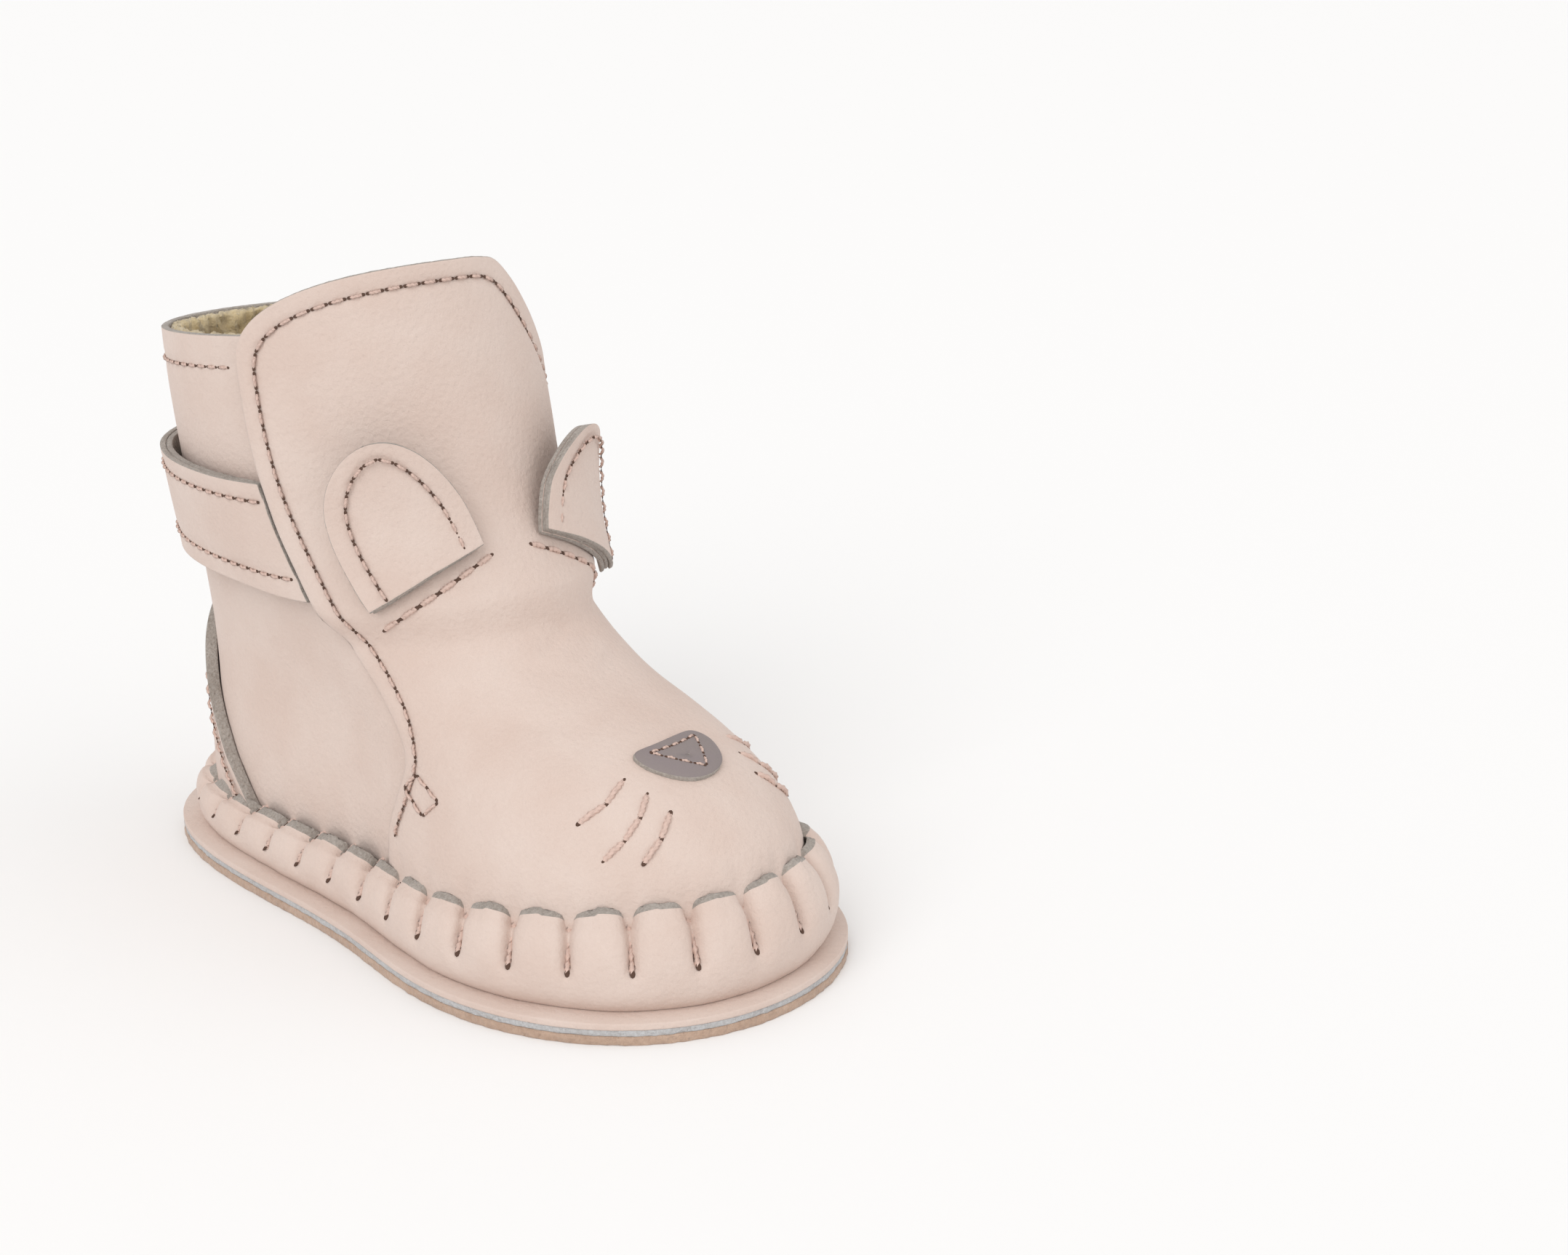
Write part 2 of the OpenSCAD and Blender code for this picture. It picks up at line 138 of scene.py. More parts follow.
class BootieColours(bpy.types.PropertyGroup):
    """Colours of each finish."""

    nubuck: colour("Nubuck", "Buffed upper leather", "#DCCAC0")
    nubuck_shade: colour("Nubuck shade", "Darker patches of the leather", "#D2BBAF")
    suede: colour("Suede", "Split suede of the sole", "#CBB09C")
    suede_dark: colour("Suede pits", "Between the sole's fibres", "#A88B78")
    edge: colour("Cut edge", "Raw grey edge of the leather", "#BDB6AF")
    edge_dark: colour("Cut edge pits", "Between the edge's fibres", "#8F857C")
    core: colour("Core edge", "Pale middle layer of the sole", "#CFD0D2")
    thread: colour("Thread", "Sewing thread and cord", "#DDBFB2")
    # hole is painted shade: the dark inside of a needle hole, laid on as a dark lens at each stitch
    # end
    hole: colour("Needle hole", "Dark inside of a needle hole", "#5E4A41")
    fleece: colour("Fleece", "Wool pile lining", "#E3D0A8")
    fleece_dark: colour("Fleece roots", "Between the curls", "#B99F70")
    nose: colour("Nose", "Taupe leather of the nose", "#8A7F80")
    foam: colour("Foam", "Foam under the foot bed", "#E4DED6")
    closure: colour("Closure", "Hook and loop tape", "#EFECE6")


def mm(name):
    """A size of the bootie in millimetres."""
    return getattr(bpy.context.scene.bootie_sizes, name) * 1000


def hue(name):
    return tuple(getattr(bpy.context.scene.bootie_colours, name))


# ---------------------------------------------------------------- the last's surface, in mm

FRONT_RUN = [0, 0, 0.05, 0.2, 0.49, 0.69, 0.825, 0.91, 0.96, 1, 1.03, 1.06]
FRONT_HEIGHT = [0.052, 0.19, 0.27, 0.345, 0.42, 0.505, 0.613, 0.73, 0.86, 1, 1.12, 1.24]
BACK_RUN = [0, 0, 0, 0, 0.1, 0.3, 0.55, 0.8, 0.95, 1, 1, 1]
CROWN_CUT = [0, 0.02, 0.1, 0.2, 0.25, 0.22, 0.15, 0.08, 0.02, 0, 0, 0]
FOLD_LEVEL = 5
COLLAR_LEVEL = 9
CLEAR = 0.3
TUCK = 16
TONGUE_ANGLE = 68


def ease(x):
    c = np.clip(x, 0, 1)
    return c * c * (3 - 2 * c)


def hump(x, width):
    return np.exp(-((x / width) ** 2))


def along(values, q):
    """A smooth curve through values, one unit of q apart."""
    v = np.asarray(values, float)
    n = len(v) - 1
    i = np.clip(np.floor(q), 0, n - 1).astype(int)
    f = q - i
    a, b, c, d = v[np.maximum(i - 1, 0)], v[i], v[i + 1], v[np.minimum(i + 2, n)]
    return (
        2 * b
        + (c - a) * f
        + (2 * a - 5 * b + 4 * c - d) * f**2
        + (3 * b - a - 3 * c + d) * f**3
    ) / 2


def level(z):
    """The level on the upper that lies at a height."""
    return np.interp(np.asarray(z) / mm("collar_height"), FRONT_HEIGHT, range(12))


def sole_point(t, inset):
    t = np.radians(t)
    u = -np.cos(t)
    ball, heel = mm("ball_half"), mm("heel_half")
    half = (ball + heel) / 2 - (ball - heel) / 2 * np.tanh((u + 0.2) / 0.25)
    hook = 2.4 * hump(u + 1, 0.4) - 0.5 * hump(u + 0.13, 0.42)
    x = (half - inset) * np.sin(t) * np.sqrt(1 + np.cos(t) ** 2) + hook
    return x, (mm("sole_length") / 2 - inset) * u


def last_point(t, q):
    t, q = np.broadcast_arrays(np.asarray(t, float), np.asarray(q, float))
    c = (1 + np.cos(np.radians(t))) / 2
    back = along(BACK_RUN, q)
    s = back + (along(FRONT_RUN, q) - back) * c
    x, y = sole_point(t, mm("last_inset"))
    ring_x = mm("collar_half") * np.sin(np.radians(t))
    ring_y = mm("collar_back") - mm("collar_depth") * np.cos(np.radians(t))
    x = (x * (1 - s) + ring_x * s) * (1 - along(CROWN_CUT, q) * c)
    y = y * (1 - s) + ring_y * s
    return np.stack([x, y, along(FRONT_HEIGHT, q) * mm("collar_height")], -1)


def last_slopes(t, q):
    """Change of the surface per degree round it and per level up it."""
    t, q = np.asarray(t, float), np.asarray(q, float)
    round_it = (last_point(t + 1, q) - last_point(t - 1, q)) / 2
    up_it = (last_point(t, q + 0.05) - last_point(t, q - 0.05)) / 0.1
    return round_it, up_it


def unit(v):
    return v / np.maximum(np.linalg.norm(v, axis=-1, keepdims=True), 1e-9)


def last_normal(t, q):
    return unit(np.cross(*last_slopes(t, q)))


def skin(t, q, off=0.0):
    return last_point(t, q) + np.asarray(off)[..., None] * last_normal(t, q)


def noise(points, size, seed):
    """Smooth noise from -1 to 1 with lumps of a size in millimetres."""
    table = np.random.default_rng(seed).random((32, 32, 32)) * 2 - 1
    p = np.asarray(points) / size
    i = np.floor(p).astype(int)
    f = p - i
    f = f * f * (3 - 2 * f)
    total = np.zeros(p.shape[:-1])
    for corner in range(8):
        d = [(corner >> k) & 1 for k in range(3)]
        weight = np.prod([f[..., k] if d[k] else 1 - f[..., k] for k in range(3)], axis=0)
        total += weight * table[tuple((i[..., k] + d[k]) % 32 for k in range(3))]
    return total


def tongue_edge(q):
    return TONGUE_ANGLE + 15 * (1 - ease((q - 1) / 3.6))


TOP_SLOPE = [10.06, 10.04, 9.96, 9.65, 9.24, 8.85, 8.55, 8.32, 8.1, 7.8, 7.3]


def tongue_top(a):
    """Level of the tongue's top edge: round on the outer side, sloping down on the inner one."""
    outer_side = 8.7 + 1.36 * (1 - np.clip(1 - 2 * a, 0, 1) ** 2.6) ** 0.5
    return np.where(a < 0.5, outer_side, along(TOP_SLOPE, 10 * (2 * a - 1)))


def rise(q):
    return mm("tongue_rise") * ease((q - FOLD_LEVEL - 0.03) / 0.6)


def collar_edge(t):
    return COLLAR_LEVEL + 0.22 * np.cos(np.radians(t))


def wall_top(t):
    heel = mm("wall_heel")
    share = ((1 + np.cos(np.radians(t))) / 2) ** 2
    return heel + (mm("wall_toe") - heel) * share


WALK_ANGLES = np.arange(0, 361, 5.0)


def walk():
    """Length round the wall's foot from the toe to each of WALK_ANGLES."""
    x, y = sole_point(WALK_ANGLES, mm("flange"))
    steps = np.hypot(np.diff(x), np.diff(y))
    return np.concatenate([[0], np.cumsum(steps)])


def gather_count(t):
    w = walk()
    return mm("gathers") / 1000 * np.interp(np.mod(t, 360), WALK_ANGLES, w) / w[-1]


def gather_angle(k):
    w = walk()
    count = mm("gathers") / 1000
    return np.interp(np.mod(k, count) * w[-1] / count, w, WALK_ANGLES)


# ---------------------------------------------------------------- meshes


def steps(count, rim=0.006):
    """Even steps from 0 to 1 with closer ones at both ends, for a crisp edge."""
    middle = np.linspace(3 * rim, 1 - 3 * rim, count)
    return np.concatenate([[0, rim], middle, [1 - rim, 1]])


def new_object(name, vertices, faces, finishes, slots=None, edges=()):
    """A mesh object at the origin, from points in millimetres."""
    mesh = bpy.data.meshes.new(name)
    mesh.from_pydata((np.asarray(vertices) / 1000).tolist(), list(edges), faces)
    for finish in finishes:
        mesh.materials.append(finish)
    if slots is not None:
        mesh.polygons.foreach_set("material_index", slots)
    mesh.update()
    thing = bpy.data.objects.new(name, mesh)
    bpy.context.scene.collection.objects.link(thing)
    return thing


def close_mesh(thing):
    """Merges doubles and turns every face of a closed mesh outwards."""
    work = bmesh.new()
    work.from_mesh(thing.data)
    bmesh.ops.remove_doubles(work, verts=work.verts, dist=1e-7)
    bmesh.ops.recalc_face_normals(work, faces=work.faces)
    for face in work.faces:
        face.smooth = True
    work.to_mesh(thing.data)
    work.free()
    return thing


def shell_arrays(outer, inner, rough=0.0, wrap=False, rounded=0.14, seed=3):
    """Points, faces and material numbers of a sheet with an outer face (0), inner face and rim (1)."""
    rows, cols = outer.shape[:2]
    index = np.arange(rows * cols).reshape(rows, cols)
    right = np.roll(index, -1, 1) if wrap else index[:, 1:]
    left = index if wrap else index[:, :-1]
    quads = np.stack([left[:-1], right[:-1], right[1:], left[1:]], -1).reshape(-1, 4)
    n = rows * cols
    points = [outer.reshape(-1, 3), inner.reshape(-1, 3)]
    faces = [quads, quads[:, ::-1] + n]
    slots = [np.zeros(len(quads)), np.ones(len(quads))]
    if wrap:
        rims = [(index[0], index[1]), (index[-1], index[-2])]
    else:
        ring = np.concatenate([index[0], index[1:, -1], index[-1, -2::-1], index[-2:0:-1, 0]])
        inside = np.concatenate(
            [index[1], index[1:, -2], index[-2, -2::-1], index[-2:0:-1, 1]]
        )
        rims = [(ring, inside)]
    flat_outer, flat_inner = points[0], points[1]
    start = 2 * n
    for ring, inside in rims:
        out = unit(flat_outer[ring] - flat_outer[inside])
        last = ring
        for k, share in enumerate((0.12, 0.35, 0.65, 0.88)):
            row = flat_outer[ring] * (1 - share) + flat_inner[ring] * share
            row = row + out * rounded * math.sin(math.pi * share) ** 0.5
            if rough:
                row = row + out * (rough * noise(row, 0.55, seed + k))[:, None]
            points.append(row)
            now = start + np.arange(len(ring))
            faces.append(np.stack([last, np.roll(last, -1), np.roll(now, -1), now], -1))
            last, start = now, start + len(ring)
        end = ring + n
        faces.append(np.stack([last, np.roll(last, -1), np.roll(end, -1), end], -1))
        slots += [np.ones(len(ring))] * 5
    return np.concatenate(points), np.concatenate(faces), np.concatenate(slots)


def shell(name, outer, inner, finishes, **options):
    points, faces, slots = shell_arrays(outer, inner, **options)
    thing = new_object(name, points, faces.tolist(), finishes, slots.astype(int))
    return close_mesh(thing)


def join(name, things):
    """One object from several, each keeping its finishes."""
    with bpy.context.temp_override(
        active_object=things[0], object=things[0], selected_editable_objects=things
    ):
        bpy.ops.object.join()
    things[0].name = things[0].data.name = name
    return things[0]


# ---------------------------------------------------------------- nodes


def add(tree, kind, inputs=(), **settings):
    """Adds a node with its settings, and sets or links its inputs."""
    node = tree.nodes.new(kind)
    for key, value in settings.items():
        setattr(node, key, value)
    for key, value in dict(inputs).items():
        if isinstance(value, bpy.types.NodeSocket):
            tree.links.new(value, node.inputs[key])
        else:
            node.inputs[key].default_value = value
    return node


def shown(node):
    """A node's first output that is in use."""
    return next(socket for socket in node.outputs if socket.enabled)


def soft_finish(name, base, shade, patch=9.0, patch_share=0.5, fleck=0.6, fleck_share=0.3,
                grain=0.7, grain_depth=0.05, nap=0.35, nap_depth=0.05, roughness=0.8,
                sheen=0.2, specular=0.3, contrast=2.0):
    """A leather, suede, thread or pile material. Sizes are in millimetres."""
    if name in bpy.data.materials:
        return bpy.data.materials[name]
    material = bpy.data.materials.new(name)
    material.use_nodes = True
    tree = material.node_tree
    tree.nodes.clear()
    where = add(tree, "ShaderNodeTexCoord").outputs["Object"]
    patches = add(tree, "ShaderNodeTexNoise",
                  {"Vector": where, "Scale": 1000 / patch, "Detail": 3.0})
    flecks = add(tree, "ShaderNodeTexNoise",
                 {"Vector": where, "Scale": 1000 / fleck, "Detail": 2.0, "Roughness": 0.65})
    first = add(tree, "ShaderNodeMapRange",
                {"Value": patches.outputs["Fac"], "From Min": 0.35, "From Max": 0.65,
                 "To Min": 0.0, "To Max": patch_share})
    second = add(tree, "ShaderNodeMapRange",
                 {"Value": flecks.outputs["Fac"], "From Min": 0.5 - 0.5 / contrast,
                  "From Max": 0.5 + 0.5 / contrast, "To Min": fleck_share, "To Max": 0.0})
    both = add(tree, "ShaderNodeMath", {0: first.outputs[0], 1: second.outputs[0]},
               operation="ADD", use_clamp=True)
    tint = add(tree, "ShaderNodeMix", {0: both.outputs[0], 6: base, 7: shade},
               data_type="RGBA")
    cells = add(tree, "ShaderNodeTexVoronoi",
                {"Vector": where, "Scale": 1000 / grain}, feature="SMOOTH_F1")
    fibres = add(tree, "ShaderNodeTexNoise",
                 {"Vector": where, "Scale": 1000 / nap, "Detail": 4.0, "Roughness": 0.6})
    coarse = add(tree, "ShaderNodeBump",
                 {"Height": cells.outputs["Distance"], "Strength": 1.0,
                  "Distance": grain_depth / 1000})
    fine = add(tree, "ShaderNodeBump",
               {"Height": fibres.outputs["Fac"], "Strength": 1.0,
                "Distance": nap_depth / 1000, "Normal": coarse.outputs[0]})
    shader = add(tree, "ShaderNodeBsdfPrincipled",
                 {"Base Color": tint.outputs[2], "Roughness": roughness,
                  "Sheen Weight": sheen, "Sheen Roughness": 0.5,
                  "Specular IOR Level": specular, "IOR": 1.45, "Normal": fine.outputs[0]})
    add(tree, "ShaderNodeOutputMaterial", {"Surface": shader.outputs[0]})
    return material


# Nubuck: buffed grain side of cowhide, so it is dull with a faint pebble and soft cloudy patches
def nubuck():
    return soft_finish("buffed_nubuck", hue("nubuck"), hue("nubuck_shade"), patch=14,
                       patch_share=0.5, fleck=0.5, fleck_share=0.22, grain=0.85,
                       grain_depth=0.12, nap=0.3, nap_depth=0.10, roughness=0.72, sheen=0.12)


# Split suede: brushed fibres that stand up in clumps, so it is rough and flecked
def suede():
    return soft_finish("brushed_suede_split", hue("suede"), hue("suede_dark"), patch=11,
                       patch_share=0.3, fleck=0.9, fleck_share=0.55, grain=0.9,
                       grain_depth=0.3, nap=0.5, nap_depth=0.35, roughness=0.95, sheen=0.3,
                       specular=0.15)


# Raw cut edge: the knife leaves pale grey fibres with small pits
def cut_edge():
    return soft_finish("raw_cut_leather_edge", hue("edge"), hue("edge_dark"), patch=5,
                       patch_share=0.25, fleck=0.45, fleck_share=0.7, grain=0.6,
                       grain_depth=0.25, nap=0.35, nap_depth=0.3, roughness=0.95, sheen=0.2,
                       specular=0.15)


# Core edge: a pale split pressed between the sole's layers
def core_edge():
    return soft_finish("pale_split_core", hue("core"), hue("edge_dark"), patch=6,
                       patch_share=0.1, fleck=0.6, fleck_share=0.4, grain=0.6,
                       grain_depth=0.25, nap=0.35, nap_depth=0.3, roughness=0.95, sheen=0.2,
                       specular=0.15)


# Waxed polyester thread: smooth twisted plies with a slight shine
def thread():
    return soft_finish("twisted_polyester_thread", hue("thread"), hue("nubuck_shade"),
                       patch=3, patch_share=0.2, fleck=0.25, fleck_share=0.3, grain=0.3,
                       grain_depth=0.03, nap=0.12, nap_depth=0.05, roughness=0.55,
                       sheen=0.1, specular=0.45)


# Needle hole: painted shade for the shaded inside of the leather
def painted_hole_shade():
    return soft_finish("needle_hole_shade", hue("hole"), hue("hole"), roughness=1.0,
                       sheen=0.0, specular=0.0)


# Wool pile: short cream curls on a knitted back, dark between the curls
def fleece():
    return soft_finish("curled_wool_pile", hue("fleece"), hue("fleece_dark"), patch=4,
                       patch_share=0.3, fleck=1.1, fleck_share=0.45, grain=1.2,
                       grain_depth=0.6, nap=0.35, nap_depth=0.4, roughness=1.0, sheen=0.5,
                       specular=0.1)


# Taupe nappa: the smoother leather of the nose
def nose_leather():
    return soft_finish("taupe_nappa", hue("nose"), hue("edge_dark"), patch=4,
                       patch_share=0.2, fleck=0.5, fleck_share=0.2, grain=0.7,
                       grain_depth=0.06, nap=0.3, nap_depth=0.05, roughness=0.6, sheen=0.05,
                       specular=0.4)


# Foam: open-cell sheet, matt with small cells
def insole_foam():
    return soft_finish("open_cell_foam", hue("foam"), hue("edge"), patch=6, fleck=0.8,
                       fleck_share=0.4, grain=0.8, grain_depth=0.3, roughness=0.95,
                       sheen=0.1)


# Closure tape: nylon hooks and loops on a woven back
def closure_tape():
    return soft_finish("nylon_closure_tape", hue("closure"), hue("edge"), patch=2,
                       patch_share=0.2, fleck=0.5, fleck_share=0.5, grain=0.7,
                       grain_depth=0.3, roughness=0.7, sheen=0.2)


def stitch_tree():
    """Geometry nodes that lay a twisted thread on each edge and a dark lens of painted shade for the
    needle hole at each end.
    """
    if "Sewn stitches" in bpy.data.node_groups:
        return bpy.data.node_groups["Sewn stitches"]
    tree = bpy.data.node_groups.new("Sewn stitches", "GeometryNodeTree")
    tree.is_modifier = True
    face = tree.interface
    face.new_socket("Geometry", in_out="INPUT", socket_type="NodeSocketGeometry")
    for label in ("Thread Radius", "Arch", "Sink", "Twists", "Hole Radius"):
        face.new_socket(label, in_out="INPUT", socket_type="NodeSocketFloat")
    for label in ("Thread Finish", "Hole Finish"):
        face.new_socket(label, in_out="INPUT", socket_type="NodeSocketMaterial")
    face.new_socket("Geometry", in_out="OUTPUT", socket_type="NodeSocketGeometry")
    given = add(tree, "NodeGroupInput").outputs
    run = shown(add(tree, "GeometryNodeInputNamedAttribute", {"Name": "run"},
                    data_type="FLOAT_VECTOR"))
    face_up = shown(add(tree, "GeometryNodeInputNamedAttribute", {"Name": "face_up"},
                        data_type="FLOAT_VECTOR"))
    turn = add(tree, "FunctionNodeAxesToRotation",
               {"Primary Axis": run, "Secondary Axis": face_up},
               primary_axis="X", secondary_axis="Z").outputs[0]
    span = add(tree, "ShaderNodeVectorMath", {0: run}, operation="LENGTH").outputs["Value"]
    low = add(tree, "ShaderNodeMath", {0: given["Sink"], 1: -1.0}, operation="MULTIPLY").outputs[0]
    ends = [add(tree, "ShaderNodeCombineXYZ", {"X": x, "Z": z}).outputs[0]
            for x, z in ((-0.5, low), (-0.3, given["Arch"]), (0.3, given["Arch"]), (0.5, low))]
    line = add(tree, "GeometryNodeCurvePrimitiveBezierSegment",
               {"Resolution": 9, "Start": ends[0], "Start Handle": ends[1],
                "End Handle": ends[2], "End": ends[3]}, mode="POSITION")
    factor = add(tree, "GeometryNodeSplineParameter").outputs["Factor"]
    twist = add(tree, "ShaderNodeMath", {0: factor, 1: given["Twists"]}, operation="MULTIPLY")
    tilt = add(tree, "ShaderNodeMath", {0: twist.outputs[0], 1: 2 * math.pi}, operation="MULTIPLY")
    twisted = add(tree, "GeometryNodeSetCurveTilt",
                  {"Curve": line.outputs[0], "Tilt": tilt.outputs[0]})
    waist = add(tree, "ShaderNodeMath", {0: given["Thread Radius"], 1: 0.62},
                operation="MULTIPLY").outputs[0]
    plies = add(tree, "GeometryNodeCurveStar",
                {"Points": 3, "Inner Radius": waist, "Outer Radius": given["Thread Radius"]})
    body = add(tree, "GeometryNodeCurveToMesh",
               {"Curve": twisted.outputs[0], "Profile Curve": plies.outputs[0],
                "Fill Caps": True})
    smooth = add(tree, "GeometryNodeSetShadeSmooth", {"Geometry": body.outputs[0]})
    stretch = add(tree, "ShaderNodeCombineXYZ", {"X": span, "Y": 1.0, "Z": 1.0})
    middles = add(tree, "GeometryNodeMeshToPoints", {"Mesh": given["Geometry"]}, mode="EDGES")
    threads = add(tree, "GeometryNodeInstanceOnPoints",
                  {"Points": middles.outputs[0], "Instance": smooth.outputs[0],
                   "Rotation": turn, "Scale": stretch.outputs[0]})
    solid_threads = add(tree, "GeometryNodeRealizeInstances", {"Geometry": threads.outputs[0]})
    sewn = add(tree, "GeometryNodeSetMaterial",
               {"Geometry": solid_threads.outputs[0], "Material": given["Thread Finish"]})
    # Painted shade: a flat dark lens at each stitch end stands in for the shade inside the needle hole
    ball = add(tree, "GeometryNodeMeshUVSphere",
               {"Segments": 8, "Rings": 5, "Radius": given["Hole Radius"]})
    lens = add(tree, "GeometryNodeTransform",
               {"Geometry": ball.outputs[0], "Scale": (1.15, 0.8, 0.3)})
    tips = add(tree, "GeometryNodeMeshToPoints", {"Mesh": given["Geometry"]}, mode="VERTICES")
    holes = add(tree, "GeometryNodeInstanceOnPoints",
                {"Points": tips.outputs[0], "Instance": lens.outputs[0], "Rotation": turn})
    solid_hole_shades = add(tree, "GeometryNodeRealizeInstances", {"Geometry": holes.outputs[0]})
    dark = add(tree, "GeometryNodeSetMaterial",
               {"Geometry": solid_hole_shades.outputs[0], "Material": given["Hole Finish"]})
    both = add(tree, "GeometryNodeJoinGeometry")
    tree.links.new(dark.outputs[0], both.inputs[0])
    tree.links.new(sewn.outputs[0], both.inputs[0])
    add(tree, "NodeGroupOutput", {"Geometry": both.outputs[0]})
    return tree


def grow(thing, tree, **values):
    """Runs a node tree on an object and keeps the plain mesh. Names use _ for a space."""
    modifier = thing.modifiers.new(tree.name, "NODES")
    modifier.node_group = tree
    for item in tree.interface.items_tree:
        key = item.name.replace(" ", "_")
        if item.in_out == "INPUT" and key in values:
            modifier[item.identifier] = values[key]
    bpy.context.view_layer.update()
    ready = thing.evaluated_get(bpy.context.evaluated_depsgraph_get())
    mesh = bpy.data.meshes.new_from_object(ready)
    thing.modifiers.remove(modifier)
    thing.data = mesh
    mesh.name = thing.name
    return thing


class Seam:
    """Stitches gathered for one piece: each is a run between two ends on a face."""

    def __init__(self):
        self.starts, self.ends, self.ups = [], [], []

    def stitch(self, a, b, up):
        self.starts.append(a)
        self.ends.append(b)
        self.ups.append(up)

    def path(self, points, normals, pitch, fill=0.72, phase=0.0):
        """Even stitches along a line of points."""
        travel = np.concatenate([[0], np.cumsum(np.linalg.norm(np.diff(points, axis=0), axis=1))])
        count = max(1, round((travel[-1] - phase) / pitch))
        pitch = (travel[-1] - phase) / count
        at = lambda s, what: np.array([np.interp(s, travel, what[:, k]) for k in range(3)])
        for i in range(count):
            s = phase + (i + 0.5) * pitch
            self.stitch(at(s - fill * pitch / 2, points), at(s + fill * pitch / 2, points),
                        unit(at(s, normals)))

    def sew(self, name, radius, arch, hole, twists=1.0, sink=0.25):
        starts, ends, ups = map(np.array, (self.starts, self.ends, self.ups))
        points = np.stack([starts, ends], 1).reshape(-1, 3)
        pairs = np.arange(len(points)).reshape(-1, 2).tolist()
        thing = new_object(name, points, [], [], edges=pairs)
        for label, values in (("run", (ends - starts) / 1000), ("face_up", ups)):
            layer = thing.data.attributes.new(label, "FLOAT_VECTOR", "POINT")
            layer.data.foreach_set("vector", np.repeat(values, 2, 0).astype(np.float32).ravel())
        # The hole finish is painted shade: the dark lens laid at each needle hole
        grow(thing, stitch_tree(), Thread_Radius=radius / 1000, Arch=arch / 1000,
             Sink=sink / 1000, Twists=float(twists), Hole_Radius=hole / 1000,
             Thread_Finish=thread(), Hole_Finish=painted_hole_shade())
        for label in ("run", "face_up"):
            layer = thing.data.attributes.get(label)
            if layer is not None:
                thing.data.attributes.remove(layer)
        return thing


def upper_line(t, q, off):
    """Points and normals along a line of angles and levels on the upper."""
    return skin(t, q, off), last_normal(t, q)


def shift_line(t, q, distance):
    """The line of angles and levels that lies a distance to the left of another on the surface."""
    points = last_point(t, q)
    tangent = unit(np.gradient(points, axis=0))
    across = np.cross(last_normal(t, q), tangent) * distance
    round_it, up_it = last_slopes(t, q)
    a, b, c = (np.sum(x * y, -1) for x, y in
               ((round_it, round_it), (round_it, up_it), (up_it, up_it)))
    d, e = np.sum(across * round_it, -1), np.sum(across * up_it, -1)
    det = a * c - b * b
    turned, raised = (d * c - e * b) / det, (a * e - b * d) / det
    good = (np.abs(turned) < 5 * abs(distance)) & (np.abs(raised) < 0.6 * abs(distance))
    order = np.arange(len(t))
    return (t + np.interp(order, order[good], turned[good]),
            q + np.interp(order, order[good], raised[good]))


# ---------------------------------------------------------------- leather shapes


def face_offset():
    """Height of the vamp's and tongue's outer face over the last."""
    return CLEAR + mm("leather")


def tongue_border(start):
    """Angles and levels of the tongue's cut edge, from the left foot round the top to the right."""
    a = (1 - np.cos(np.linspace(0, math.pi, 160))) / 2
    top = tongue_top(a)
    across = (2 * a - 1) * tongue_edge(top)
    left, right = (np.linspace(start, top[i], 150) for i in (0, -1))
    return (np.concatenate([-tongue_edge(left), across[1:-1], tongue_edge(right[::-1])]),
            np.concatenate([left, top[1:-1], right[::-1]]))


def even(points, spacing):
    """Where along a line of points even steps of a spacing fall, as a share of its length."""
    travel = np.concatenate([[0], np.cumsum(np.linalg.norm(np.diff(points, axis=0), axis=1))])
    count = int(travel[-1] / spacing)
    return np.interp(np.linspace(0, travel[-1], count), travel, np.arange(len(points)))


def tongue_seam_line():
    """The seam 3 mm inside the tongue's edge, smoothed at its two corners."""
    t, q = tongue_border(1.15)
    t, q = shift_line(t, q, -3.0)
    where = even(last_point(t, q), 0.5)
    order = np.arange(len(t))
    t, q = np.interp(where, order, t), np.interp(where, order, q)
    kernel = np.ones(9) / 9
    for values in (t, q):
        padded = np.concatenate([[values[0]] * 4, values, [values[-1]] * 4])
        values[:] = np.convolve(padded, kernel, "valid")
    return t, q


def groove(points, line, depth, width):
    """How far a seam pulls the leather in at each point."""
    flat = points.reshape(-1, 3)
    near = np.full(len(flat), 1e9)
    for start in range(0, len(line), 40):
        block = line[start : start + 40]
        d = np.linalg.norm(flat[:, None] - block[None], axis=2).min(1)
        near = np.minimum(near, d)
    return (-depth * hump(near, width)).reshape(points.shape[:-1])


def creases(t, q):
    """Faint folds across the instep where the foot bends."""
    z = along(FRONT_HEIGHT, q) * mm("collar_height")
    total = np.zeros(t.shape)
    for height, centre, reach, slant, depth in (
        (45.5, -14, 20, 0.05, 0.30), (43.2, -20, 24, 0.03, 0.26), (40.5, -8, 22, 0.06, 0.22),
        (47.8, 4, 18, -0.04, 0.22), (42.0, 14, 20, -0.05, 0.24), (38.0, -26, 16, 0.08, 0.16)):
        line = height + slant * (t - centre) + 0.8 * np.sin(np.radians(9 * t + 40 * height))
        total -= depth * hump(z - line, 0.9) * hump(t - centre, reach)
        total += 0.5 * depth * hump(z - line - 1.8, 1.4) * hump(t - centre, reach)
    return total


def puckers(t, z):
    """Dents in the vamp where the cord pulls it to the wall."""
    phase = np.mod(gather_count(t), 1) - 0.5
    over = z - wall_top(t)
    return -0.45 * hump(phase, 0.13) * hump(over - 0.5, 3.0) * (0.4 + 0.6 * ease(over + 2))


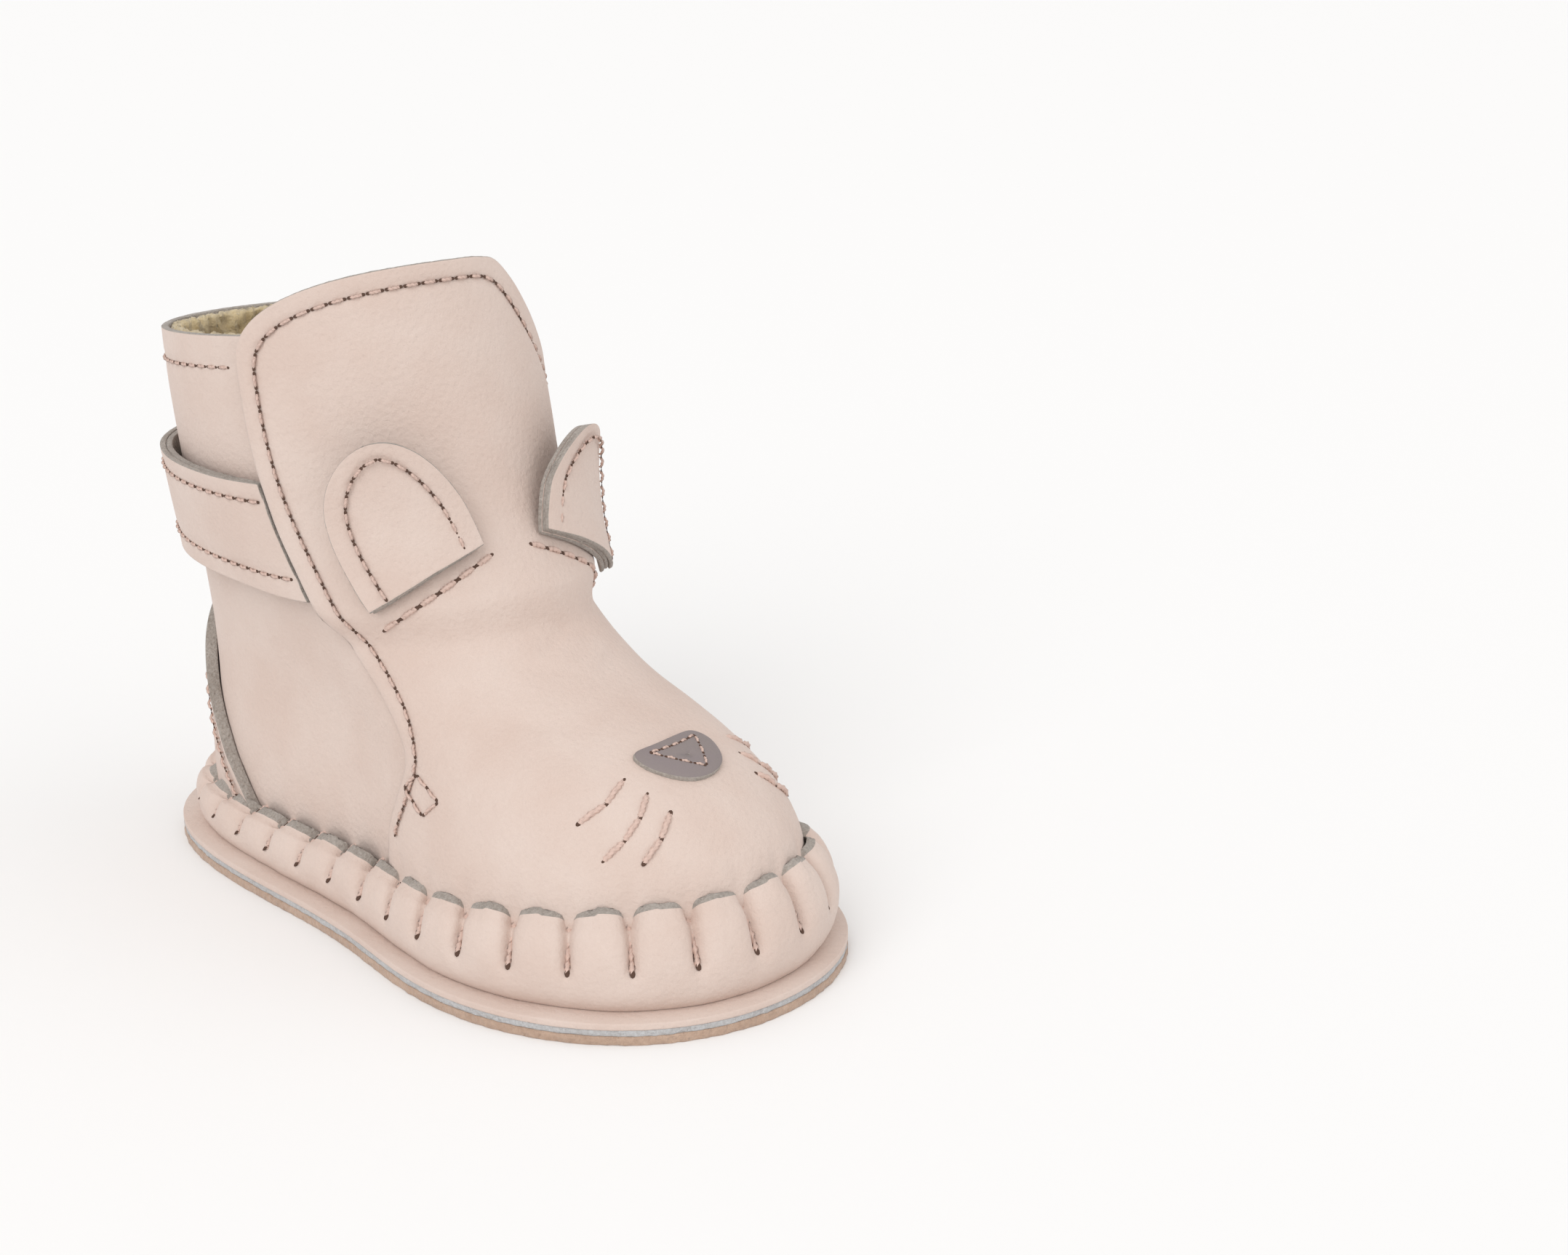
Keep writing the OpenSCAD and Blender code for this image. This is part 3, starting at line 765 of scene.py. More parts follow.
class BOOTIE_OT_tongue(bpy.types.Operator):
    """Makes the one-piece vamp and tongue that bends at the instep"""

    bl_idname = "bootie.tongue"
    bl_label = "Vamp and tongue"

    def execute(self, context):
        a, v = np.meshgrid(steps(150), steps(200, 0.003))
        a = a + 0.02 * np.sin(2 * math.pi * a) * -1
        q = v * tongue_top(a)
        t = (2 * a - 1) * tongue_edge(q)
        flat = skin(t, q, face_offset() + rise(q))
        seam_t, seam_q = tongue_seam_line()
        line = skin(seam_t, seam_q, face_offset() + rise(seam_q))
        relief = 0.35 * noise(flat, 22, 5) + 0.12 * noise(flat, 7, 6)
        relief += creases(t, q) + puckers(t, flat[..., 2]) + groove(flat, line, 0.28, 0.8)
        normal = last_normal(t, q)
        edge = np.minimum(a, 1 - a) * 2 * tongue_edge(q) * 0.6
        lip = -0.35 * hump(edge, 0.6)
        outer = flat + normal * (relief + lip)[..., None]
        inner = skin(t, q, CLEAR + rise(q)) + normal * (0.35 * noise(flat, 22, 5))[..., None]
        piece = shell("tongue_and_vamp", outer, inner, [nubuck(), cut_edge()], rough=0.06)
        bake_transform(piece)
        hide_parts("vamp", "tongue")
        return {"FINISHED"}


def curls(points):
    """Height of the pile's curls."""
    warp = points + np.stack([noise(points, 3.0, s) for s in (11, 12, 13)], -1) * 0.9
    ridged = 1 - np.abs(noise(warp, 2.1, 14)) * 2.2
    return 0.95 * ridged + 0.35 * noise(points, 0.9, 15)


class BOOTIE_OT_lining(bpy.types.Operator):
    """Makes the wool pile inside the tongue and the quarter"""

    bl_idname = "bootie.lining"
    bl_label = "Pile lining"

    def execute(self, context):
        a, v = np.meshgrid(np.linspace(0, 1, 96), np.linspace(0, 1, 175))
        q = v * (tongue_top(0.1 + 0.8 * a) - 0.2)
        t = (2 * a - 1) * (tongue_edge(q) - TUCK - 3)
        normal = last_normal(t, q)
        back = skin(t, q, CLEAR - 0.25 + rise(q))
        pile = skin(t, q, -mm("pile") + 0.6 + rise(q))
        face = pile - normal * curls(pile)[..., None]
        piece = shell("tongue_pile", face, back, [fleece(), fleece()], rounded=0.5, rough=0.5)
        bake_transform(piece)
        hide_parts("vamp_lining", "tongue_lining")
        a, v = np.meshgrid(np.linspace(0, 1, 250), np.linspace(0, 1, 110))
        q0 = collar_edge(180 - 110 * (2 * a - 1)) * v
        t = 180 + (2 * a - 1) * (180 - tongue_edge(q0) + TUCK - 1)
        q = (collar_edge(t) - 0.05) * v
        normal = last_normal(t, q)
        leather = mm("leather")
        back = skin(t, q, -leather - 0.1)
        pile = skin(t, q, -leather - mm("pile") + 0.5)
        face = pile - normal * curls(pile)[..., None]
        piece = shell("quarter_pile", face, back, [fleece(), fleece()], rounded=0.5, rough=0.5)
        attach(piece, "shoe")
        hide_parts("quarter_lining")
        return {"FINISHED"}


def counter_top(x):
    return level(8 + 34 * (0.5 + 0.5 * np.cos(np.pi * x)) ** 0.7)


class BOOTIE_OT_quarter(bpy.types.Operator):
    """Makes the leather that wraps the ankle, and the counter over the heel"""

    bl_idname = "bootie.quarter"
    bl_label = "Quarter and counter"

    def execute(self, context):
        a, v = np.meshgrid(steps(260, 0.002), steps(120, 0.004))
        q0 = collar_edge(180 - 110 * (2 * a - 1)) * v
        t = 180 + (2 * a - 1) * (180 - tongue_edge(q0) + TUCK)
        q = collar_edge(t) * v
        flat = skin(t, q)
        seam_t = np.linspace(78, 282, 300)
        line = skin(seam_t, collar_edge(seam_t) - 0.39)
        normal = last_normal(t, q)
        relief = 0.30 * noise(flat, 24, 8) + 0.10 * noise(flat, 8, 9) + groove(flat, line, 0.25, 0.8)
        outer = flat + normal * (relief - 0.1)[..., None]
        inner = skin(t, q, -mm("leather")) + normal * (0.30 * noise(flat, 24, 8))[..., None]
        piece = shell("quarter_leather", outer, inner, [nubuck(), cut_edge()], rough=0.05)
        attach(piece, "shoe")
        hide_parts("quarter")
        a, v = np.meshgrid(steps(130, 0.004), steps(50, 0.01))
        x = 2 * a - 1
        t, q = 180 + 64 * x, counter_top(x) * v
        normal = last_normal(t, q)
        thick = 1.5 + 0.5 * ease((v - 0.7) / 0.3)
        outer = skin(t, q, 0.2 + thick) + normal * (0.12 * noise(skin(t, q), 9, 21))[..., None]
        points, normals = counter_seam_line(1.7)
        outer = outer + normal * groove(outer, points, 0.25, 0.8)[..., None]
        piece = shell("heel_counter_patch", outer, skin(t, q, 0.1), [nubuck(), cut_edge()],
                      rough=0.16)
        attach(piece, "shoe")
        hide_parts("heel_counter")
        return {"FINISHED"}


def counter_seam_line(off):
    """The seam 3 mm inside the counter's edge."""
    x = np.linspace(-0.86, 0.86, 240)
    t, q = shift_line(180 + 64 * x, counter_top(x), -3.0)
    return skin(t, q, off), last_normal(t, q)


# ---------------------------------------------------------------- wall and sole


def wall_surface(count, v, depth_in=0.0, lip=0.0):
    """The gathered wall at a number of gathers from the toe and a share of its height."""
    t = gather_angle(count)
    front = ((1 + np.cos(np.radians(t))) / 2) ** 1.2
    pleat = np.floor(count)
    rng = np.random.default_rng(17)
    jitter = rng.random(64)[pleat.astype(int)] - 0.5
    x = np.mod(count, 1) - 0.5
    near = np.abs(x)
    sharp, broad = hump(near, 0.075), hump(near, 0.2)
    bite = 1.55 * sharp * ease((v - 0.36) / 0.14) + 0.85 * broad * ease((v - 0.12) / 0.5)
    plump = 0.45 * (1 - broad) * ease((v - 0.3) / 0.4)
    bulge = (1.25 + 1.25 * front) * np.sin(np.pi * np.clip(v, 0, 1) ** 0.8)
    lean = 1.25 * v * v + 0.45 * ease((v - 0.86) / 0.14)
    inset = mm("flange") - bulge + lean + (0.5 + 0.5 * front) * bite - plump + depth_in
    drop = (1.9 * hump(near, 0.09) + 0.9 * hump(near, 0.26)) * ease((v - 0.72) / 0.28)
    drop = drop * (0.75 + 0.25 * front) - 0.5 * jitter * (1 - broad) * ease((v - 0.7) / 0.3)
    height = mm("sole_top") + 0.05 + (wall_top(t) + 0.4 - mm("sole_top")) * v - drop + lip
    px, py = sole_point(t, inset)
    return np.stack([px, py, height], -1)


class BOOTIE_OT_wall(bpy.types.Operator):
    """Makes the gathered side wall and its whip stitches"""

    bl_idname = "bootie.wall"
    bl_label = "Gathered wall"

    def execute(self, context):
        count = context.scene.bootie_sizes.gathers
        per = 28
        u = np.arange(count * per) / per
        u = u + 0.1 * np.sin(2 * math.pi * u) / 1.0
        v = np.concatenate([[0, 0.01], np.linspace(0.03, 0.97, 24), [0.985, 1.0]])
        u_grid, v_grid = np.meshgrid(u, v)
        front = ((1 + np.cos(np.radians(gather_angle(u_grid)))) / 2) ** 1.2
        tilt = (0.2 + 0.75 * (1 - front)) * ease((v_grid - 0.8) / 0.2)
        outer = wall_surface(np.mod(u_grid, count), v_grid, 0.0, 0.0)
        outer[..., 2] -= tilt
        middle = np.array([0, 0, 8.0])
        away = unit((outer - middle) * [1, 1, 0.2])
        outer = outer + away * (0.16 * noise(outer, 5, 31) + 0.08 * noise(outer, 2.2, 32))[..., None]
        inner = wall_surface(np.mod(u_grid, count), v_grid, 1.35, 0.0)
        piece = shell("gathered_wall", outer, inner, [nubuck(), cut_edge()], wrap=True, rough=0.28,
                      rounded=0.1)
        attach(piece, "shoe")
        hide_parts("pleated_wall")
        seam = Seam()
        for k in range(count):
            c = np.array(k + 0.5)
            hole = wall_surface(c, np.array(0.43))
            top = wall_surface(c, np.array(0.99))
            t = gather_angle(c)
            out = unit(np.array([*sole_point(t, 0), 0]) - np.array([*sole_point(t, 5), 0]))
            seam.stitch(hole + out * 0.35, top + out * 0.45 + [0, 0, 0.5], out)
            seam.stitch(top + out * 0.35 + [0, 0, 0.3], top - out * 2.2 + [0, 0, 1.3],
                        unit(out + [0, 0, 1.5]))
        cords = seam.sew("wall_cord_stitches", mm("cord") / 2, 0.4, 0.55, twists=1.6, sink=0.35)
        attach(cords, "shoe")
        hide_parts("hand_stitches")
        return {"FINISHED"}


def sole_layer(name, inset, low, high, finishes, insets, wave=0.05, seed=40):
    """A layer of the sole with a rounded edge. insets are its rings on the underside: place, lift."""
    t = np.arange(0, 360, 1.0)
    rings = []
    for share in (0.02, 0.3, 0.6, 0.8):
        x, y = sole_point(t, 9)
        rings.append(np.stack([x * share, y * share, np.full(360, low)], -1))
    for place, lift in insets:
        x, y = sole_point(t, place)
        rings.append(np.stack([x, y, np.full(360, low + lift)], -1))
    thick = high - low
    for out, up in ((0.12, 0.0), (0.02, 0.1), (0, 0.3), (0, 0.7), (0.02, 0.9), (0.12, 1.0)):
        x, y = sole_point(t, inset + out)
        ring = np.stack([x, y, np.full(360, low + up * thick)], -1)
        side = unit(ring * [1, 1, 0])
        rings.append(ring + side * (wave * noise(ring, 0.9, seed))[:, None])
    for share in (0.93, 0.6, 0.3, 0.02):
        x, y = sole_point(t, inset + 1)
        rings.append(np.stack([x * share, y * share, np.full(360, high)], -1))
    grid = np.array(rings)
    n = len(grid)
    index = np.arange(n * 360).reshape(n, 360)
    right = np.roll(index, -1, 1)
    faces = np.stack([index[:-1], right[:-1], right[1:], index[1:]], -1).reshape(-1, 4).tolist()
    faces += [index[0, ::-1].tolist(), index[-1].tolist()]
    return close_mesh(new_object(name, grid.reshape(-1, 3), faces, finishes))


class BOOTIE_OT_sole(bpy.types.Operator):
    """Makes the suede tread, its sewn groove, the pale core and the top leather"""

    bl_idname = "bootie.sole"
    bl_label = "Sole"

    def execute(self, context):
        seam = mm("seam_inset")
        groove_rings = [(8, 0), (seam + 1.0, 0), (seam + 0.5, 0.25), (seam, 0.5),
                        (seam - 0.5, 0.25), (seam - 1.0, 0), (2.5, 0), (0.6, 0)]
        plain = [(8, 0), (4, 0), (1, 0)]
        tread = sole_layer("suede_tread", 0, 0, 1.4, [suede()], groove_rings, 0.16, 41)
        core = sole_layer("pale_core", 0.12, 1.4, 2.4, [core_edge()], plain, 0.2, 43)
        top = sole_layer("welt_leather", 0, 2.4, 3.5, [nubuck()], plain, 0.04, 45)
        for piece, node, slot in ((tread, "outsole_suede", "suede"),
                                  (core, "sole_core", "cut_edge"),
                                  (top, "sole_top_leather", "nubuck")):
            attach(piece, "shoe")
            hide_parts(node)
        t = np.linspace(0, 360, 721)
        x, y = sole_point(t, seam)
        points = np.stack([x, y, np.full(721, 0.42)], -1)
        down = np.tile([0.0, 0.0, -1.0], (721, 1))
        line = Seam()
        line.path(points, down, mm("pitch") * 1.2)
        stitches = line.sew("tread_seam", mm("thread") / 2, 0.12, 0.4)
        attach(stitches, "shoe")
        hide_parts("sole_stitching")
        return {"FINISHED"}


class BOOTIE_OT_footbed(bpy.types.Operator):
    """Makes the pile foot bed on its foam"""

    bl_idname = "bootie.footbed"
    bl_label = "Foot bed"

    def execute(self, context):
        low, high = (corner.z * 1000 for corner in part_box("footbed_fleece"))
        inset = mm("last_inset") + mm("leather") + mm("pile") + 0.6
        t = np.arange(0, 360, 2.0)
        rings = []
        for share in np.linspace(0.01, 1, 70):
            x, y = sole_point(t, inset)
            flat = np.stack([x * share, y * share, np.full(180, high - 0.7)], -1)
            flat[:, 2] += curls(flat) * 0.55
            rings.append(flat)
        x, y = sole_point(t, inset)
        rings.append(np.stack([x, y, np.full(180, low + 0.05)], -1))
        rings.append(np.stack([x * 0.01, y * 0.01, np.full(180, low + 0.05)], -1))
        grid = np.array(rings)
        n = len(grid)
        index = np.arange(n * 180).reshape(n, 180)
        right = np.roll(index, -1, 1)
        faces = np.stack([index[:-1], right[:-1], right[1:], index[1:]], -1).reshape(-1, 4).tolist()
        faces += [index[0, ::-1].tolist(), index[-1].tolist()]
        piece = close_mesh(new_object("pile_foot_bed", grid.reshape(-1, 3), faces, [fleece()]))
        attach(piece, "shoe")
        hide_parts("footbed_fleece")
        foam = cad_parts["insole_foam"]
        foam.data.materials.clear()
        foam.data.materials.append(insole_foam())
        return {"FINISHED"}


# ---------------------------------------------------------------- strap, ears, face


def strap_shell(name, start, end, low, high, rim, finishes, rough, columns, round_end=False):
    a, v = np.meshgrid(steps(columns, 0.002), steps(26, 0.012))
    bottom = mm("strap_low") + rim
    top = mm("strap_low") + mm("strap_width") - rim
    left = start
    if round_end:
        left = start - 3 * (1 - np.abs(2 * v - 1) ** 2.4) ** 0.5
    t = left + rim + (end - left - rim) * a
    q = level(bottom + (top - bottom) * v)
    normal = last_normal(t, q)
    flat = skin(t, q, high)
    z = flat[..., 2]
    relief = 0.08 * noise(flat, 9, 51)
    for seam_height in (mm("strap_low") + 3, mm("strap_low") + mm("strap_width") - 3):
        relief = relief - (0.2 * hump(z - seam_height, 0.8) if rim == 0 else 0)
    outer = flat + normal * relief[..., None]
    return shell(name, outer, skin(t, q, low), finishes, rough=rough)


class BOOTIE_OT_strap(bpy.types.Operator):
    """Makes the two-layer ankle strap with its tab and closure tape"""

    bl_idname = "bootie.strap"
    bl_label = "Ankle strap"

    def execute(self, context):
        finishes = [nubuck(), cut_edge()]
        outer = strap_shell("strap_top", -276, -72, 2.05, 3.0, 0, finishes, 0.08, 190, True)
        liner = strap_shell("strap_back", -276, -72, 1.0, 2.0, 0.15, [cut_edge(), cut_edge()],
                            0.15, 190, True)
        piece = join("ankle_strap", [outer, liner])
        bend = self.bend()
        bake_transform(piece)
        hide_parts("strap_outer", "strap_liner", "tab_outer", "tab_liner")
        root = strap_shell("strap_root", -71.1, -60, 0.1, 2.5, 0, finishes, 0.05, 12)
        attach(root, "shoe")
        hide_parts("strap_anchor")
        seam = Seam()
        for height in (3, mm("strap_width") - 3):
            t = np.linspace(-276, -73.5, 500)
            q = level(mm("strap_low") + height) + 0 * t
            seam.path(*upper_line(t, q, 2.9 + 0 * t), mm("pitch"))
        stitches = seam.sew("ankle_strap_seams", mm("thread") / 2, 0.35, 0.36)
        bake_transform(stitches)
        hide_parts("strap_stitching", "tab_stitching")
        self.tape("closure_loops", "loop_patch", "shoe", -277, -234, 0.1, 0.3, 2)
        self.tape("closure_hooks", "tab_hook", "tab", -274, -236, 0.78, 0.95, 2.5)
        return {"FINISHED"}

    def bend(self):
        """Where the strap turns into the tab, as two points in metres."""
        ends = [skin(np.array(t), level(mm("strap_low") + 9), 2.0) / 1000 for t in (-206, -220)]
        return tuple(ends[0]), tuple(ends[1])

    def tape(self, name, node, body, start, end, low, high, rim):
        piece = strap_shell(name, start, end, low, high, rim, [closure_tape()] * 2, 0.05, 60)
        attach(piece, body)
        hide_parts(node)


EAR_BASES = {1: ((-51, 52.8), (-14.4, 60.6)), -1: ((-55, 49.5), (-8, 60.5))}
EAR_SHARE = {1: 1.0, -1: 0.89}


def ear_place(side, a, v, rim):
    """Angle, level and height off the last of a point on an ear."""
    b = a if side > 0 else 1 - a
    up = rim * 0.5 + (1 - rim) * v
    wide = (1 - up**2) ** 0.5 * (1 - rim)
    (t0, z0), (t1, z1) = EAR_BASES[side]
    x = (2 * b - 1) * np.maximum(0.02, wide)
    z = (z0 + z1) / 2 + (z1 - z0) / 2 * x + mm("ear_height") * EAR_SHARE[side] * up
    t = side * ((t0 + t1) / 2 + (t1 - t0) / 2 * x - 3 * up)
    base = mm("tongue_rise") + CLEAR + mm("leather") + 0.3
    return t, level(z), base + mm("ear_lift") * up


class BOOTIE_OT_ears(bpy.types.Operator):
    """Makes the two sewn ears and the thick stitches at their feet"""

    bl_idname = "bootie.ears"
    bl_label = "Ears"

    def execute(self, context):
        for side, ear in ((1, "lateral_ear"), (-1, "medial_ear")):
            self.make_ear(side, ear)
        seam = Seam()
        for side in (-1, 1):
            k = np.linspace(-0.05, 1.1, 60)
            (t0, z0), (t1, z1) = EAR_BASES[side]
            t, q = side * (t0 + (t1 - t0) * k), level(z0 - 2.2 + (z1 - z0) * k)
            seam.path(*upper_line(t, q, rise(q) + face_offset() + 0.05), 3.6, 0.8)
        stitches = seam.sew("ear_foot_stitches", 0.48, 0.45, 0.45, 1.5)
        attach(stitches, "tongue")
        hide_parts("ear_seam_stitches")
        return {"FINISHED"}

    def make_ear(self, side, ear):
        layer = mm("ear_leather")
        a, v = np.meshgrid(steps(44, 0.008), 1 - (1 - steps(40, 0.008)) ** 1.6)
        parts = []
        for k, (rim, finish, rough) in enumerate(
            ((0.0, [nubuck(), cut_edge()], 0.06), (0.015, [cut_edge()] * 2, 0.2),
             (0.0, [nubuck(), cut_edge()], 0.06))):
            t, q, off = ear_place(side, a, v, rim)
            low, high = k * layer, (k + 1) * layer - 0.04
            normal = last_normal(t, q)
            wave = 0.12 * noise(skin(t, q, off), 6, 61)
            outer = skin(t, q, off + high + wave)
            inner = skin(t, q, off + low + wave)
            if k == 2:
                points = self.outline(side, 2.4 * layer)[0]
                outer = outer + normal * groove(outer, points, 0.2, 0.7)[..., None]
            parts.append(shell(f"{ear}_layer", outer, inner, finish, rough=rough))
        piece = join(f"{ear}_leather", parts)
        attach(piece, ear)
        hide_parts(f"{ear}_front", f"{ear}_core", f"{ear}_back")
        seam = Seam()
        seam.path(*self.outline(side, 3 * layer + 0.02), 2.6)
        stitches = seam.sew(f"{ear}_seam", mm("thread") / 2, 0.32, 0.34)
        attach(stitches, ear)
        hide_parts(f"{ear}_stitching")

    def outline(self, side, high):
        """The seam 2.4 mm inside an ear's edge, from foot to foot."""
        v = np.sin(np.linspace(0, math.pi / 2, 60)) * 0.999
        a = np.concatenate([np.zeros(60), np.ones(60)])
        v = np.concatenate([v, v[::-1]])
        t, q, off = ear_place(side, a, v, 0.0)
        points = last_point(t, q)
        tangent = unit(np.gradient(points, axis=0))
        moved_t, moved_q = shift_line(t, q, -2.4)
        keep = np.ones(len(t), bool)
        keep[57:63] = False
        moved_t, moved_q, off = moved_t[keep], moved_q[keep], off[keep]
        return skin(moved_t, moved_q, off + high), last_normal(moved_t, moved_q)


WHISKERS = ((37, 28.2, 21, 32.5), (34, 24, 18, 31), (26, 23.7, 15.5, 28.9))
NOSE_AT = (1.0, 33.0)
NOSE_OUTLINE = ((-6.6, 3.2), (-2.5, 4.0), (2.5, 4.2), (5.8, 3.4), (6.9, 0.6), (5.0, -3.0),
                (1.6, -4.6), (-2.2, -4.3), (-5.4, -2.0), (-7.2, 0.8))


class BOOTIE_OT_face(bpy.types.Operator):
    """Makes the nose patch and the six whiskers"""

    bl_idname = "bootie.face"
    bl_label = "Nose and whiskers"

    def spot(self, x, y):
        """Angle and level at a place in millimetres right of and above the nose's middle."""
        t0, q0 = NOSE_AT[0], level(NOSE_AT[1])
        round_it, up_it = last_slopes(np.array(t0), q0)
        return (t0 + x / np.linalg.norm(round_it), q0 + y / np.linalg.norm(up_it))

    def execute(self, context):
        ring = np.array(NOSE_OUTLINE)
        k = np.linspace(0, len(ring), 97)[:-1]
        loop = np.concatenate([ring[-1:], ring, ring[:2]])
        outline = np.stack([along(loop[:, i], k + 1) for i in (0, 1)], -1)
        share = np.array([0.03, 0.3, 0.55, 0.75, 0.88, 0.95, 1.0])
        rows = outline[None] * share[:, None, None]
        t, q = self.spot(rows[..., 0], rows[..., 1])
        base = face_offset()
        thick = 1.25 - 0.35 * share[:, None] ** 6 + 0 * t
        outer = skin(t, q, base + 0.05 + thick)
        inner = skin(t, q, base - 0.1 + 0 * t)
        points, faces, slots = shell_arrays(outer, inner, rough=0.1, wrap=True)
        piece = new_object("nose_patch", points, faces.tolist(), [nose_leather(), cut_edge()],
                           slots.astype(int))
        self.fill_poles(piece)
        close_mesh(piece)
        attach(piece, "shoe")
        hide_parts("nose")
        seam = Seam()
        corners = np.array([(-5.0, 2.4), (4.6, 2.6), (0.8, -3.2), (-5.0, 2.4)])
        for a, b in zip(corners[:-1], corners[1:]):
            line = a + (b - a) * np.linspace(0, 1, 20)[:, None]
            t, q = self.spot(line[:, 0], line[:, 1])
            seam.path(*upper_line(t, q, base + 1.28 + 0 * t), 2.2, 0.66)
        stitches = seam.sew("nose_seam", 0.26, 0.25, 0.3)
        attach(stitches, "shoe")
        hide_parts("nose_stitching")
        seam = Seam()
        for side in (-1, 1):
            for t0, z0, t1, z1 in WHISKERS:
                k = np.linspace(0, 1, 40)
                away = 5 if side > 0 else 0
                t, q = side * (t0 + (t1 - t0) * k) + away, level(z0 + (z1 - z0) * k)
                seam.path(*upper_line(t, q, base + 0.1 + 0 * t), 4.2, 0.97)
        stitches = seam.sew("whiskers", 0.55, 0.55, 0.5, 2.0)
        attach(stitches, "shoe")
        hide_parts("whisker_stitches")
        return {"FINISHED"}

    def fill_poles(self, piece):
        """Closes the small holes at the middle of the patch by drawing them to a point."""
        work = bmesh.new()
        work.from_mesh(piece.data)
        holes = [edge for edge in work.edges if edge.is_boundary]
        bmesh.ops.holes_fill(work, edges=holes, sides=0)
        work.to_mesh(piece.data)
        work.free()


class BOOTIE_OT_seams(bpy.types.Operator):
    """Sews the edges of the tongue, the collar and the counter"""

    bl_idname = "bootie.seams"
    bl_label = "Edge seams"

    def execute(self, context):
        pitch, radius = mm("pitch"), mm("thread") / 2
        seam = Seam()
        t, q = tongue_seam_line()
        seam.path(*upper_line(t, q, face_offset() + rise(q) - 0.12), pitch)
        for side in (-1, 1):
            centre_t, centre_q = side * 71.5, 2.4
            diamond = [(-4.6, 0.0), (0.0, 0.4), (4.6, 0.0), (0.0, -0.4), (-4.6, 0.0)]
            for (t0, q0), (t1, q1) in zip(diamond[:-1], diamond[1:]):
                k = np.linspace(0.06, 0.94, 12)
                t = centre_t + t0 + (t1 - t0) * k
                q = centre_q + q0 + (q1 - q0) * k
                seam.path(*upper_line(t, q, face_offset() + 0 * t), 3.4, 0.9)
        piece = seam.sew("tongue_edge_seam", radius, 0.36, 0.36)
        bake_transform(piece)
        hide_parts("tongue_stitching", "vamp_seam_stitching", "bartacks")
        seam = Seam()
        t = np.linspace(78, 282, 500)
        seam.path(*upper_line(t, collar_edge(t) - 0.39, -0.15 + 0 * t), pitch)
        piece = seam.sew("collar_seam", radius, 0.36, 0.36)
        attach(piece, "shoe")
        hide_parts("collar_stitching")
        seam = Seam()
        seam.path(*counter_seam_line(2.0), pitch)
        piece = seam.sew("counter_seam", radius, 0.36, 0.36)
        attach(piece, "shoe")
        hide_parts("counter_stitching")
        return {"FINISHED"}


# ---------------------------------------------------------------- stage


